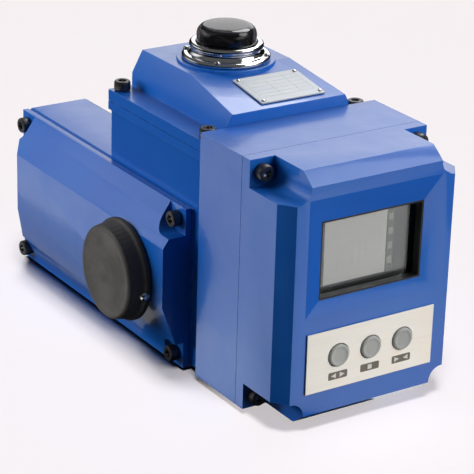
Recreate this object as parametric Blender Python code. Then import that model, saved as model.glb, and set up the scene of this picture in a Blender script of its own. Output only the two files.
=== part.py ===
"""Motorized part-turn valve actuator with a display box, a side gear cover and a dial indicator.

Origin: output axis at the valve mounting face. +Z up the output shaft, +X towards the display,
-Y towards the side gear cover. Run with: blender --background --python part.py
"""

import math

import bmesh
import bpy
from mathutils import Matrix, Vector

MM = 0.001
GAP = 0.3 * MM          # left between pieces that touch
WALL = 3.5 * MM         # die-cast wall

# Mounting pad, ISO 5211 F05
PAD_R = 32.5 * MM
PAD_H = 3 * MM
PAD_BOLT_PCD = 50 * MM
PAD_BOLT_R = 2.5 * MM   # M6 tapping size
PAD_BOLT_DEPTH = 7 * MM

# Gear tower of the main housing
TOWER_X = (-35 * MM, 58.7 * MM)
TOWER_HALF_Y = 47.5 * MM
TOWER_FLOOR = 9 * MM
FLANGE_Z = (116.5 * MM, 120.6 * MM)
FLANGE_HALF_Y = 49.5 * MM
FLANGE_INSET = 5.3 * MM   # screw axis to the flange's edges
LEDGE_Z = (66 * MM, 71.7 * MM)
LEDGE = 4 * MM

# Side compartment of the main housing, with its cover
SIDE_X = (-126 * MM, 47 * MM)
SIDE_Z = (1.8 * MM, 89 * MM)
SIDE_REAR_Y = -11 * MM
SIDE_FACE_Y = -48 * MM
SIDE_INSET = 6.7 * MM     # screw axis to the cover's edges
WEB_Y = (-30.5 * MM, -27 * MM)
COVER_BACK_Y = SIDE_FACE_Y - 1.3 * MM
COVER_EAR_Y = COVER_BACK_Y - 2.7 * MM
COVER_FRONT_Y = -65 * MM
COVER_SHOULDER = (-56 * MM, 14 * MM)   # (y, z) where the lower slope turns in
COVER_FLAT_Z = (38 * MM, 70 * MM)
COVER_SKIN = 3 * MM

# Control box
BOX_X = (59 * MM, 95.4 * MM)
LID_X = (96.6 * MM, 134 * MM)
BOX_HALF_Y = 52 * MM
BOX_Z = (3 * MM, 133 * MM)
LID_BEVEL = 6 * MM      # inwards, all round the front
LID_BEVEL_X = 8 * MM    # along X
EAR = 6 * MM            # thickness of a screw ear
CORNER = 6.5 * MM       # screw axis to the box's sides
NOTCH_R = 7.5 * MM
POST = 14 * MM          # solid corner left inside a shell
SIDE_POST = 13 * MM

# Display window and keypad
WINDOW_HALF_Y = 30 * MM
WINDOW_Z = (67.4 * MM, 107.7 * MM)
WINDOW_DEPTH = 7 * MM
FUNNEL_HALF_Y = 39 * MM
FUNNEL_Z = (60.5 * MM, 120.5 * MM)
FUNNEL_DEPTH = 2.5 * MM
KEYPAD_HALF_Y = 37.7 * MM
KEYPAD_Z = (20.7 * MM, 52.2 * MM)
KEY_PITCH = 19 * MM
KEY_Z = 38 * MM
KEY_R = 5.8 * MM

# Top cover and indicator
COVER_Z = (121.9 * MM, 127.3 * MM)
ROOF_EAVE_Z = 134.5 * MM
ROOF_Z = 146 * MM
ROOF_HALF_Y = (36 * MM, 30 * MM)
ROOF_X0 = (-34 * MM, -33.8 * MM)
ROOF_BREAK_X = 14 * MM
ROOF_END_Z = 139 * MM
BOSS_R = 25.5 * MM
BOSS_Z = 147.2 * MM
BEZEL_R = 23 * MM
RING_R = 19.2 * MM
RING_Z = 156 * MM
DOME_R = 15.5 * MM
DOME_H = 9 * MM

# Screws: M5 socket heads
SCREW_R = 2.5 * MM
HEAD_R = 4.25 * MM
HEAD_H = 5 * MM
HEX_R = 2.3 * MM
HOLE_R = 2.8 * MM

# Drive train. Spur shafts lie along Y at height DRIVE_Z, in a row along X
DRIVE_Z = 46.5 * MM
SPUR_M = 1.25 * MM
FINE_M = 1.0 * MM
MOTOR_T, CLUSTER_BIG_T, CLUSTER_SMALL_T = 14, 48, 14
MANUAL_BIG_T, MANUAL_SMALL_T, WORM_GEAR_T = 48, 14, 24
WHEEL_T = 40
WORM_M = 1.1 * MM
WORM_R = 7.5 * MM
DRUM_T, POT_T = 40, 16
DRUM_M = 0.8 * MM
WORM_X = WHEEL_T * WORM_M / 2 + WORM_R
MANUAL_X = WORM_X - (MANUAL_SMALL_T + WORM_GEAR_T) * FINE_M / 2
CLUSTER_X = MANUAL_X - (CLUSTER_SMALL_T + MANUAL_BIG_T) * SPUR_M / 2
MOTOR_X = CLUSTER_X - (MOTOR_T + CLUSTER_BIG_T) * SPUR_M / 2
LAYER_1 = (-51.5 * MM, -46.5 * MM)
LAYER_2 = (-45 * MM, -39.5 * MM)
LAYER_3 = (-38 * MM, -32.5 * MM)
WHEEL_Z = (39.5 * MM, 53.5 * MM)
WORM_HALF_LENGTH = 20 * MM
BEARING_R = 9.5 * MM
BEARING_W = 6 * MM
MOTOR_R = 27 * MM
MOTOR_SHAFT_R = 3 * MM
AXLE_R = 2.9 * MM
AXLE_BORE_R = 3.2 * MM
HAND_HUB_R = 7 * MM
HAND_HUB_END_Y = -59.5 * MM
HAND_HEX_R = 4.7 * MM       # 8 mm hexagon key
CAPACITOR_R = 11 * MM
WORM_SHAFT_R = 4 * MM       # where its spur gear sits
PILLAR_Y = 25 * MM
DRUM_GEAR_Z = (80 * MM, 84 * MM)
POT_Y = (DRUM_T + POT_T) * DRUM_M / 2
SWITCH_Z = (86 * MM, 94.4 * MM)
SWITCH_H = 6.4 * MM
LOBE_R = 12 * MM
LEVER_X = 12.4 * MM
LEVER_PIVOT_Y = -9 * MM
PLUG_R = (27 * MM, 24.5 * MM)
PLUG_H = 12 * MM
PLUG_HOLE_R = 20 * MM
BOARD_Z = (21 * MM, 115 * MM)
GLAND_X = 77 * MM
GLAND_Z = 42 * MM
BLANK_Z = 78 * MM
EARTH_AT = (-30 * MM, 24 * MM)      # (y, z) on the -X end
EARTH_BOSS = 2.5 * MM

COLOURS = {
    "blue_paint": ((0.035, 0.13, 0.48), 0.35, 0.0),
    "black_rubber": ((0.02, 0.02, 0.022), 0.7, 0.0),
    "black_steel": ((0.03, 0.03, 0.035), 0.4, 0.8),
    "chrome": ((0.8, 0.8, 0.82), 0.12, 1.0),
    "clear_glass": ((0.75, 0.8, 0.82), 0.05, 0.0),
    "tinted_glass": ((0.08, 0.08, 0.09), 0.08, 0.0),
    "steel": ((0.5, 0.5, 0.52), 0.35, 1.0),
    "bronze": ((0.55, 0.38, 0.16), 0.35, 1.0),
    "nylon": ((0.8, 0.79, 0.74), 0.5, 0.0),
    "dark_plastic": ((0.04, 0.045, 0.05), 0.5, 0.0),
    "silver_plate": ((0.78, 0.77, 0.73), 0.35, 0.3),
    "grey_key": ((0.42, 0.43, 0.45), 0.5, 0.0),
    "display": ((0.45, 0.44, 0.41), 0.3, 0.0),
    "circuit_board": ((0.03, 0.22, 0.1), 0.5, 0.0),
    "dial_face": ((0.05, 0.05, 0.055), 0.4, 0.0),
}


# ---------------------------------------------------------------- helpers

def material(name):
    """The named material, made once."""
    found = bpy.data.materials.get(name)
    if found:
        return found
    colour, roughness, metallic = COLOURS[name]
    made = bpy.data.materials.new(name)
    made.use_nodes = True
    shader = made.node_tree.nodes["Principled BSDF"]
    shader.inputs["Base Color"].default_value = (*colour, 1)
    shader.inputs["Roughness"].default_value = roughness
    shader.inputs["Metallic"].default_value = metallic
    made.diffuse_color = (*colour, 1)
    return made


def solid(name, bm, finish=None, smooth=False):
    """An object from a bmesh. With no finish it is a helper that is left out of the model."""
    bmesh.ops.remove_doubles(bm, verts=bm.verts, dist=1e-7)
    bmesh.ops.recalc_face_normals(bm, faces=bm.faces)
    mesh = bpy.data.meshes.new(name)
    bm.to_mesh(mesh)
    bm.free()
    obj = bpy.data.objects.new(name, mesh)
    bpy.context.scene.collection.objects.link(obj)
    if finish:
        mesh.materials.append(material(finish))
    else:
        obj.hide_render = True
        obj.display_type = "WIRE"
    if smooth:
        mesh.shade_smooth()
        mesh.set_sharp_from_angle(angle=math.radians(35))
    return obj


def axes_of(axis):
    """(u, v, w) unit vectors: w along the named axis, u and v across it, right-handed."""
    x, y, z = Vector((1, 0, 0)), Vector((0, 1, 0)), Vector((0, 0, 1))
    return {"X": (y, z, x), "Y": (z, x, y), "Z": (x, y, z)}[axis]


def at(axis, u, v, w):
    """The point with those coordinates across and along an axis: X takes (y, z), Y (z, x), Z (x, y)."""
    across, over, along = axes_of(axis)
    return across * u + over * v + along * w


def skin(rings, closed_ends=True):
    """A bmesh through rings of points with equal counts, capped at both ends."""
    bm = bmesh.new()
    loops = [[bm.verts.new(p) for p in ring] for ring in rings]
    count = len(loops[0])
    for low, high in zip(loops, loops[1:]):
        for i in range(count):
            j = (i + 1) % count
            bm.faces.new((low[i], low[j], high[j], high[i]))
    if closed_ends:
        bm.faces.new(reversed(loops[0]))
        bm.faces.new(loops[-1])
    return bm


def prism(name, axis, outline, span, finish=None):
    """An outline of (u, v) points across the axis, extruded over the span."""
    return solid(name, skin([[at(axis, u, v, w) for u, v in outline] for w in span]), finish)


def box(name, low, high, finish=None):
    """A box between two corners."""
    outline = [(low[0], low[1]), (high[0], low[1]), (high[0], high[1]), (low[0], high[1])]
    return prism(name, "Z", outline, (low[2], high[2]), finish)


def circle(radius, count, centre=(0, 0), turn=0.0):
    """Points of a circle; turn is in steps."""
    steps = [2 * math.pi * (i + turn) / count for i in range(count)]
    return [(centre[0] + radius * math.cos(a), centre[1] + radius * math.sin(a)) for a in steps]


def turned(name, axis, centre, profile, finish=None, count=24):
    """A solid of revolution: profile is (radius, position along the axis) from one end to the other.

    A radius of 0 at an end closes it; otherwise the profile is closed on itself, as for a ring."""
    pointed = profile[0][0] == 0
    rings = profile[1:-1] if pointed else profile
    loops = [[at(axis, u, v, w) for u, v in circle(r, count, centre)] for r, w in rings]
    if pointed:
        bm = skin(loops)
    else:
        bm = skin(loops + [loops[0]], closed_ends=False)
    return solid(name, bm, finish, smooth=bool(finish))


def rod(name, axis, centre, radius, span, finish=None, count=24):
    """A plain cylinder."""
    return turned(name, axis, centre, [(0, span[0]), (radius, span[0]), (radius, span[1]), (0, span[1])],
                  finish, count)


def boolean(target, other, operation="DIFFERENCE"):
    """Adds a Boolean to the target and hides the helper it works with."""
    modifier = target.modifiers.new(operation.title(), "BOOLEAN")
    modifier.operation = operation
    modifier.solver = "EXACT"
    modifier.object = other
    other.hide_render = True
    other.display_type = "WIRE"
    return target


def cut(target, *helpers):
    for helper in helpers:
        boolean(target, helper)
    return target


def join(target, *helpers):
    for helper in helpers:
        boolean(target, helper, "UNION")
    return target


def origin_at(obj, point):
    """Moves an object's origin onto its joint's axis; its shape stays put and its helpers follow it."""
    back = Matrix.Translation(-Vector(point))
    obj.data.transform(back)
    obj.location = point
    for modifier in obj.modifiers:
        modifier.object.parent = obj
        modifier.object.matrix_parent_inverse = back
    return obj


def rectangle(half_u, span_v):
    """An outline of u within half_u and v over the span."""
    return [(-half_u, span_v[0]), (half_u, span_v[0]), (half_u, span_v[1]), (-half_u, span_v[1])]


def cross(low, high, corner):
    """A rectangle with its four corners left out, in (u, v)."""
    (u0, v0), (u1, v1), c = low, high, corner
    return [(u0 + c, v0), (u1 - c, v0), (u1 - c, v0 + c), (u1, v0 + c), (u1, v1 - c), (u1 - c, v1 - c),
            (u1 - c, v1), (u0 + c, v1), (u0 + c, v1 - c), (u0, v1 - c), (u0, v0 + c), (u0 + c, v0 + c)]


def notch_outline(centre, out_u, out_v, reach=12 * MM):
    """A round pocket about a screw, open towards one corner: out_u and out_v are its signs."""
    steps = 6
    arc = [math.pi / 2 * i / steps for i in range(steps + 1)]
    pocket = [(centre[0] - out_u * NOTCH_R * math.cos(a), centre[1] - out_v * NOTCH_R * math.sin(a))
              for a in arc]
    pocket.append((centre[0] + out_u * reach, centre[1] - out_v * NOTCH_R))
    pocket.append((centre[0] + out_u * reach, centre[1] + out_v * reach))
    pocket.append((centre[0] - out_u * NOTCH_R, centre[1] + out_v * reach))
    return pocket


def gear_outline(teeth, module, turn=0.0, thickness=0.45, addendum=0.85, dedendum=1.2, lift=0.0):
    """Straight-sided teeth. turn is the angle of the first tooth's centre; lift turns it further."""
    pitch_r = teeth * module / 2
    half = thickness * math.pi * module / 2
    undercut = 0.35 if teeth < 20 else 1.0
    widths = [(pitch_r - dedendum * module, half + undercut * dedendum * module * 0.30),
              (pitch_r + addendum * module, half - addendum * module * 0.364)]
    if teeth < 20:
        widths.insert(1, (pitch_r, half))
    points = []
    for i in range(teeth):
        middle = turn + lift + 2 * math.pi * i / teeth
        flank = [(r, middle - w / r) for r, w in widths] + [(r, middle + w / r) for r, w in reversed(widths)]
        points += [(r * math.cos(a), r * math.sin(a)) for r, a in flank]
    return points


def shifted(outline, centre):
    return [(u + centre[0], v + centre[1]) for u, v in outline]


# Angles across a Y axis run from +Z towards +X, so +X is a quarter turn
TOWARDS_PLUS_X = math.pi / 2
TOWARDS_MINUS_X = -math.pi / 2


def spur(name, x, span, teeth, module, tooth_at, finish=None):
    """A spur gear on a Y shaft; tooth_at is the angle where a tooth's centre stands."""
    outline = shifted(gear_outline(teeth, module, tooth_at), (DRIVE_Z, x))
    return prism(name, "Y", outline, span, finish)


def socket_screw(name, axis, centre, seat, out, length, shank_r=SCREW_R):
    """A socket head screw: its head stands on seat, out is +1 or -1 along the axis."""
    top = seat + out * HEAD_H
    tip = seat - out * length
    profile = [(0, tip), (shank_r, tip), (shank_r, seat), (HEAD_R, seat), (HEAD_R, top - out * 0.6 * MM),
               (HEAD_R - 0.6 * MM, top), (0, top)]
    screw = turned(name, axis, centre, profile, "black_steel", 12)
    key = rod(name + "_key", axis, centre, HEX_R, sorted((top - out * 2.5 * MM, top + out * MM)), count=6)
    return cut(screw, key)


# ---------------------------------------------------------------- main housing

def side_corners():
    """(z, x) of the side cover's four screws."""
    return [(z, x) for z in (SIDE_Z[0] + SIDE_INSET, SIDE_Z[1] - SIDE_INSET)
            for x in (SIDE_X[0] + SIDE_INSET, SIDE_X[1] - SIDE_INSET)]


def top_corners():
    """(x, y) of the top cover's four screws."""
    side = FLANGE_HALF_Y - FLANGE_INSET
    return [(x, y) for x in (TOWER_X[0] + FLANGE_INSET, TOWER_X[1] - FLANGE_INSET) for y in (-side, side)]


def rounded_section(y_range, z_range, radius, steps=4):
    """A (y, z) outline with its two upper corners rounded."""
    (y0, y1), (z0, z1) = y_range, z_range
    arc = [math.pi / 2 * i / steps for i in range(steps + 1)]
    right = [(y1 - radius + radius * math.cos(a), z1 - radius + radius * math.sin(a)) for a in arc]
    left = [(y0 + radius * (1 - math.sin(a)), z1 - radius + radius * math.cos(a)) for a in arc]
    return [(y0, z0), (y1, z0)] + right + left


def main_housing():
    """The casting: gear tower, side compartment, mounting pad, web, bearing pillar and ledges."""
    tower = box("main_housing", (TOWER_X[0], -TOWER_HALF_Y, PAD_H), (TOWER_X[1], TOWER_HALF_Y, FLANGE_Z[1]),
                "blue_paint")
    flange = box("housing_flange", (TOWER_X[0], -FLANGE_HALF_Y, FLANGE_Z[0]),
                 (TOWER_X[1], FLANGE_HALF_Y, FLANGE_Z[1]))
    side_outline = rounded_section((SIDE_FACE_Y, SIDE_REAR_Y), SIDE_Z, 2 * MM)
    side = prism("housing_side", "X", side_outline, SIDE_X)
    pad = rod("housing_pad", "Z", (0, 0), PAD_R, (0, TOWER_FLOOR), count=40)
    earth = rod("earth_boss", "X", EARTH_AT, 7 * MM, (SIDE_X[0] - EARTH_BOSS, SIDE_X[0] + 11 * MM), count=20)
    join(tower, flange, side, pad)

    over = 5 * MM
    inner_x = (TOWER_X[0] + WALL, TOWER_X[1] - WALL)
    wall_y = TOWER_HALF_Y - WALL
    roof_of_side = SIDE_Z[1] + WALL
    lower = box("cavity_gears", (inner_x[0], WEB_Y[1], TOWER_FLOOR), (inner_x[1], wall_y, LEDGE_Z[0]))
    middle = box("cavity_ledges", (inner_x[0] + LEDGE, WEB_Y[1], LEDGE_Z[0] - MM),
                 (inner_x[1] - LEDGE, wall_y, LEDGE_Z[1] + MM))
    upper = box("cavity_upper", (inner_x[0], WEB_Y[1], LEDGE_Z[1]), (inner_x[1], wall_y, roof_of_side + MM))
    top_low, top_high = (inner_x[0], -wall_y), (inner_x[1], wall_y)
    top = prism("cavity_top", "Z", cross(top_low, top_high, POST - 3 * MM),
                (roof_of_side, FLANGE_Z[1] + over))
    gear_low = (SIDE_Z[0] + WALL, SIDE_X[0] + WALL)
    gear_high = (SIDE_Z[1] - WALL, SIDE_X[1] - WALL)
    gears = prism("cavity_side", "Y", cross(gear_low, gear_high, SIDE_POST), (SIDE_FACE_Y - over, WEB_Y[0]))
    motor_room = box("cavity_motor", (SIDE_X[0] + WALL, WEB_Y[0] - MM, SIDE_Z[0] + WALL),
                     (TOWER_X[0] - WALL, SIDE_REAR_Y - WALL, SIDE_Z[1] - WALL))
    cut(tower, lower, middle, upper, top, gears, motor_room)

    pillar = box("bearing_pillar", (WORM_X - 13 * MM, PILLAR_Y, DRIVE_Z - 12.5 * MM),
                 (WORM_X + 13 * MM, TOWER_HALF_Y - MM, DRIVE_Z + 12.5 * MM))
    boss = rod("bearing_boss", "Y", (DRIVE_Z, WORM_X), 13 * MM, (WEB_Y[0] + MM, WEB_Y[1] + 3 * MM))
    join(tower, pillar, boss, earth)

    holes = [
        rod("bore_output", "Z", (0, 0), 18.3 * MM, (-over, TOWER_FLOOR + MM), count=32),
        rod("bore_bearing_front", "Y", (DRIVE_Z, WORM_X), BEARING_R + GAP, (WEB_Y[0] - MM, WEB_Y[1] + over)),
        rod("bore_bearing_rear", "Y", (DRIVE_Z, WORM_X), BEARING_R + GAP,
            (PILLAR_Y - over, PILLAR_Y + 7 * MM)),
        rod("bore_shaft_end", "Y", (DRIVE_Z, WORM_X), 6 * MM, (PILLAR_Y, PILLAR_Y + 12 * MM), count=16),
        rod("bore_wires", "X", (0, 95 * MM), 9 * MM, (TOWER_X[1] - over, TOWER_X[1] + over), count=20),
    ]
    for x in (CLUSTER_X, MANUAL_X):
        holes.append(rod("bore_axle", "Y", (DRIVE_Z, x), AXLE_R + 0.4 * MM, (WEB_Y[0] - MM, WEB_Y[1] + MM),
                         count=12))
    spread = PAD_BOLT_PCD / 2
    for u, v in circle(spread, 4, turn=0.5):
        holes.append(rod("pad_hole", "Z", (u, v), PAD_BOLT_R, (-MM, PAD_BOLT_DEPTH), count=12))
    holes.append(rod("earth_hole", "X", EARTH_AT, HOLE_R, (SIDE_X[0] - 5 * MM, SIDE_X[0] + 8 * MM), count=10))
    for centre in top_corners():
        holes.append(rod("flange_hole", "Z", centre, HOLE_R, (FLANGE_Z[1] - 14 * MM, FLANGE_Z[1] + MM),
                         count=10))
    for centre in side_corners():
        holes.append(rod("side_hole", "Y", centre, HOLE_R, (SIDE_FACE_Y - MM, SIDE_FACE_Y + 12 * MM),
                         count=10))
    return cut(tower, *holes)


def flat_ring(name, axis, outer, inner, span, holes, finish):
    """A gasket: an outline less a smaller one, with screw holes."""
    ring = prism(name, axis, outer, span, finish)
    room = prism(name + "_room", axis, inner, (span[0] - MM, span[1] + MM))
    bores = [rod(name + "_hole", axis, c, HOLE_R, (span[0] - MM, span[1] + MM), count=10) for c in holes]
    return cut(ring, room, *bores)


def top_cover_gasket():
    inset = 1.5 * MM
    x0, x1, y1 = TOWER_X[0] + inset, TOWER_X[1] - inset, FLANGE_HALF_Y - inset
    outer = [(x0, -y1), (x1, -y1), (x1, y1), (x0, y1)]
    inner = cross((TOWER_X[0] + WALL, -TOWER_HALF_Y + WALL), (TOWER_X[1] - WALL, TOWER_HALF_Y - WALL),
                  POST - 3 * MM)
    span = (FLANGE_Z[1] + GAP, COVER_Z[0] - GAP)
    return flat_ring("top_cover_gasket", "Z", outer, inner, span, top_corners(), "black_rubber")


def side_cover_gasket():
    inset = 1 * MM
    (z0, z1), (x0, x1) = SIDE_Z, SIDE_X
    outer = [(z0 + inset, x0 + inset), (z1 - inset, x0 + inset), (z1 - inset, x1 - inset),
             (z0 + inset, x1 - inset)]
    inner = cross((z0 + WALL, x0 + WALL), (z1 - WALL, x1 - WALL), SIDE_POST)
    span = (COVER_BACK_Y + GAP, SIDE_FACE_Y - GAP)
    return flat_ring("side_cover_gasket", "Y", outer, inner, span, side_corners(), "black_rubber")


# ---------------------------------------------------------------- top cover and indicator

def roof_shell(name, inset, base_z, finish=None):
    """The upper cover's raised body, or its hollow when inset: eaves, chamfer and a roof that falls to +X."""
    y0, y1 = (h - inset for h in ROOF_HALF_Y)
    xa, xb, x1 = ROOF_X0[0] + inset, ROOF_X0[1] + inset, TOWER_X[1] - inset

    def ring(x_low, half_y, z):
        return [(x_low, -half_y, z), (x1, -half_y, z), (x1, half_y, z), (x_low, half_y, z)]

    rings = [ring(xa, y0, base_z), ring(xa, y0, ROOF_EAVE_Z - inset / 2), ring(xb, y1, ROOF_Z - inset)]
    body = solid(name, skin(rings), finish)
    fall = [(ROOF_BREAK_X, ROOF_Z - inset), (TOWER_X[1] + 5 * MM, ROOF_END_Z - inset - 0.9 * MM),
            (TOWER_X[1] + 5 * MM, ROOF_Z + MM), (ROOF_BREAK_X, ROOF_Z + MM)]
    wedge = solid(name + "_fall", skin([[(x, s * 60 * MM, z) for x, z in fall] for s in (1, -1)]))
    return cut(body, wedge)


def top_cover():
    """Flange, roof and the boss that carries the indicator; hollow underneath."""
    cover = box("top_cover", (TOWER_X[0], -FLANGE_HALF_Y, COVER_Z[0]),
                (TOWER_X[1], FLANGE_HALF_Y, COVER_Z[1]),
                "blue_paint")
    roof = roof_shell("cover_roof", 0, COVER_Z[0] + MM)
    boss = rod("cover_boss", "Z", (0, 0), BOSS_R, (ROOF_EAVE_Z, BOSS_Z), count=40)
    join(cover, roof, boss)
    hollow = roof_shell("cover_hollow", COVER_SKIN, COVER_Z[0] - 5 * MM)
    shaft_bore = rod("cover_bore", "Z", (0, 0), 5.2 * MM, (COVER_Z[0], BOSS_Z + MM), count=20)
    holes = [rod("cover_hole", "Z", c, HOLE_R, (COVER_Z[0] - MM, COVER_Z[1] + MM), count=10)
             for c in top_corners()]
    cut(cover, hollow, shaft_bore, *holes)
    return cover


def indicator():
    """Chrome bezel, dark window and the dial on top of the output shaft."""
    base, lip_z = BOSS_Z + GAP, RING_Z - 1.6 * MM
    room_r = RING_R - 1.5 * MM
    bezel_profile = [(room_r, base), (BEZEL_R, base), (BEZEL_R, base + 1.6 * MM),
                     (BEZEL_R - MM, base + 2.4 * MM),
                     (RING_R, base + 3 * MM), (RING_R, RING_Z - MM), (RING_R - MM, RING_Z),
                     (DOME_R + GAP, RING_Z), (DOME_R + GAP, lip_z), (room_r, lip_z)]
    turned("indicator_bezel", "Z", (0, 0), bezel_profile, "chrome", 40)
    flange_z, straight, skin_t = lip_z - GAP, RING_Z + 4 * MM, 1.5 * MM
    bend = DOME_H - 4 * MM
    steps = [math.pi / 2 * i / 4 for i in range(4)]
    outside = [(DOME_R - bend + bend * math.cos(a), straight + bend * math.sin(a)) for a in steps]
    inner_bend = bend - skin_t
    inside = [(DOME_R - bend + inner_bend * math.cos(a), straight + inner_bend * math.sin(a)) for a in steps]
    profile = [(0, flange_z - 1.2 * MM), (room_r - GAP, flange_z - 1.2 * MM), (room_r - GAP, flange_z),
               (DOME_R, flange_z)]
    shell = profile + outside + [(0, straight + bend)]
    lens = turned("indicator_lens", "Z", (0, 0), shell, "tinted_glass", 32)
    room_profile = [(0, flange_z - 2 * MM), (DOME_R - skin_t, flange_z - 2 * MM)] + inside
    cut(lens, turned("lens_room", "Z", (0, 0), room_profile + [(0, straight + inner_bend)], None, 32))
    hub_z, dial_z = BOSS_Z + MM, RING_Z - MM
    dial_profile = [(0, hub_z), (4.6 * MM, hub_z), (4.6 * MM, dial_z - 2 * MM), (12 * MM, dial_z - 2 * MM),
                    (12 * MM, dial_z), (0, dial_z)]
    dial = turned("indicator_dial", "Z", (0, 0), dial_profile, "dial_face", 32)
    pointer = prism("dial_pointer", "Z", [(-10 * MM, -1.4 * MM), (6 * MM, -1.4 * MM), (10.5 * MM, 0),
                                          (6 * MM, 1.4 * MM), (-10 * MM, 1.4 * MM)],
                    (dial_z - MM, dial_z + 1.4 * MM))
    socket = rod("dial_socket", "Z", (0, 0), 3.3 * MM, (hub_z - MM, hub_z + 4 * MM), count=12)
    join(dial, pointer)
    cut(dial, socket)


def nameplate():
    """The rating plate on the falling part of the roof."""
    slope = (ROOF_END_Z - ROOF_Z) / (TOWER_X[1] - ROOF_BREAK_X)
    x0, x1, y0, y1 = 28 * MM, 55 * MM, -14 * MM, 24 * MM

    def surface(x):
        return ROOF_Z + (x - ROOF_BREAK_X) * slope + GAP

    rings = [[(x, y0, surface(x) + h), (x, y1, surface(x) + h)] for h in (0, 0.8 * MM) for x in (x0, x1)]
    low = [rings[0][0], rings[1][0], rings[1][1], rings[0][1]]
    high = [rings[2][0], rings[3][0], rings[3][1], rings[2][1]]
    return solid("nameplate", skin([low, high]), "silver_plate")


# ---------------------------------------------------------------- side cover

def cover_section(inset=0.0):
    """(y, z) outline of the bulged side cover's raised part, or of its hollow when inset."""
    back = COVER_BACK_Y + (5 * MM if inset else 0)
    front = COVER_FRONT_Y + inset
    shoulder_y, shoulder_z = COVER_SHOULDER
    low, high = SIDE_Z[0] + inset + 2.5 * MM, SIDE_Z[1] - inset * 1.3
    return [(back, low), (back, high), (COVER_EAR_Y + inset * 0.9, high),
            (front, COVER_FLAT_Z[1] - inset * 0.3), (front, COVER_FLAT_Z[0] + inset * 0.3),
            (shoulder_y + inset, shoulder_z + inset * 0.5), (COVER_EAR_Y + inset * 0.9, low)]


def end_slope(name, inset=0.0):
    """A wedge that takes the raised part down towards the -X end."""
    far, run, out = SIDE_X[0] + inset, 17 * MM, COVER_FRONT_Y - 5 * MM
    outline = [(far - 5 * MM, COVER_EAR_Y + inset), (far + MM, COVER_EAR_Y + inset),
               (far + run, COVER_FRONT_Y + inset), (far + run, out), (far - 5 * MM, out)]
    return prism(name, "Z", outline, (-10 * MM, 110 * MM))


def side_cover():
    """The long bulged cover of the gear compartment, with a notch at each screw and the plug hole."""
    cover = prism("side_cover", "X", cover_section(), SIDE_X, "blue_paint")
    rim = box("cover_rim", (SIDE_X[0], COVER_EAR_Y, SIDE_Z[0]), (SIDE_X[1], COVER_BACK_Y, SIDE_Z[1]))
    cut(cover, end_slope("cover_end_slope"))
    join(cover, rim)

    room = prism("cover_room", "X", cover_section(COVER_SKIN), (SIDE_X[0] + WALL, SIDE_X[1] - WALL))
    cut(room, end_slope("room_end_slope", COVER_SKIN))
    inside = cross((SIDE_Z[0] + WALL, SIDE_X[0] + WALL), (SIDE_Z[1] - WALL, SIDE_X[1] - WALL), SIDE_POST)
    boolean(room, prism("cover_cross", "Y", inside, (-90 * MM, -40 * MM)), "INTERSECT")
    hole = rod("plug_hole", "Y", (DRIVE_Z, MANUAL_X), PLUG_HOLE_R, (COVER_FRONT_Y - 5 * MM, COVER_BACK_Y),
               count=36)
    cut(cover, room, hole)
    middle_z, middle_x = sum(SIDE_Z) / 2, sum(SIDE_X) / 2
    for z, x in side_corners():
        outline = notch_outline((z, x), math.copysign(1, z - middle_z), math.copysign(1, x - middle_x))
        cut(cover, prism("cover_notch", "Y", outline, (COVER_FRONT_Y - 5 * MM, COVER_EAR_Y)),
            rod("cover_screw_hole", "Y", (z, x), HOLE_R, (COVER_EAR_Y - MM, COVER_BACK_Y + MM), count=10))
    return cover


def override_plug():
    """The rubber plug that closes the hand drive hole; it pulls out along -Y."""
    front = COVER_FRONT_Y - GAP
    profile = [(0, front - PLUG_H), (PLUG_R[1] - 2 * MM, front - PLUG_H),
               (PLUG_R[1], front - PLUG_H + 2 * MM),
               (PLUG_R[0], front - 1.5 * MM), (PLUG_R[0], front), (PLUG_HOLE_R - GAP, front),
               (PLUG_HOLE_R - GAP, front + 3.4 * MM), (0, front + 3.4 * MM)]
    plug = turned("override_plug", "Y", (DRIVE_Z, MANUAL_X), profile, "black_rubber", 36)
    return origin_at(plug, (MANUAL_X, front, DRIVE_Z))


# ---------------------------------------------------------------- control box

def box_corners():
    """(y, z) of the lid's four screws."""
    return [(y, z) for y in (-BOX_HALF_Y + CORNER, BOX_HALF_Y - CORNER)
            for z in (BOX_Z[0] + CORNER, BOX_Z[1] - CORNER)]


def board_corners():
    """(y, z) of the pillars that carry the two circuit boards."""
    return [(y, z) for y in (-30 * MM, 30 * MM) for z in (26 * MM, 112 * MM)]


def box_room():
    """(y, z) outline inside the control box, clear of its corner posts."""
    return cross((-BOX_HALF_Y + WALL, BOX_Z[0] + WALL), (BOX_HALF_Y - WALL, BOX_Z[1] - WALL), POST)


def control_housing():
    housing = prism("control_housing", "X", rectangle(BOX_HALF_Y, BOX_Z), BOX_X, "blue_paint")
    room = prism("control_room", "X", box_room(), (BOX_X[0] + WALL, BOX_X[1] + 5 * MM))
    cut(housing, room)
    for y, z in board_corners():
        join(housing, rod("board_post", "X", (y, z), 3 * MM, (BOX_X[0] + MM, BOX_X[0] + 14 * MM), count=8))
    entries = [rod("cable_entry", "Y", (z, GLAND_X), 10.1 * MM, (BOX_HALF_Y - 6 * MM, BOX_HALF_Y + 5 * MM))
               for z in (GLAND_Z, BLANK_Z)]
    wires = rod("wire_port", "X", (0, 95 * MM), 9 * MM, (BOX_X[0] - 5 * MM, BOX_X[0] + 6 * MM), count=20)
    bores = [rod("lid_bore", "X", c, HOLE_R, (BOX_X[1] - 14 * MM, BOX_X[1] + MM), count=10)
             for c in box_corners()]
    return cut(housing, wires, *entries, *bores)


def control_lid_gasket():
    outer = rectangle(BOX_HALF_Y - MM, (BOX_Z[0] + MM, BOX_Z[1] - MM))
    span = (BOX_X[1] + GAP, LID_X[0] - GAP)
    return flat_ring("control_lid_gasket", "X", outer, box_room(), span, box_corners(), "black_rubber")


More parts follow.
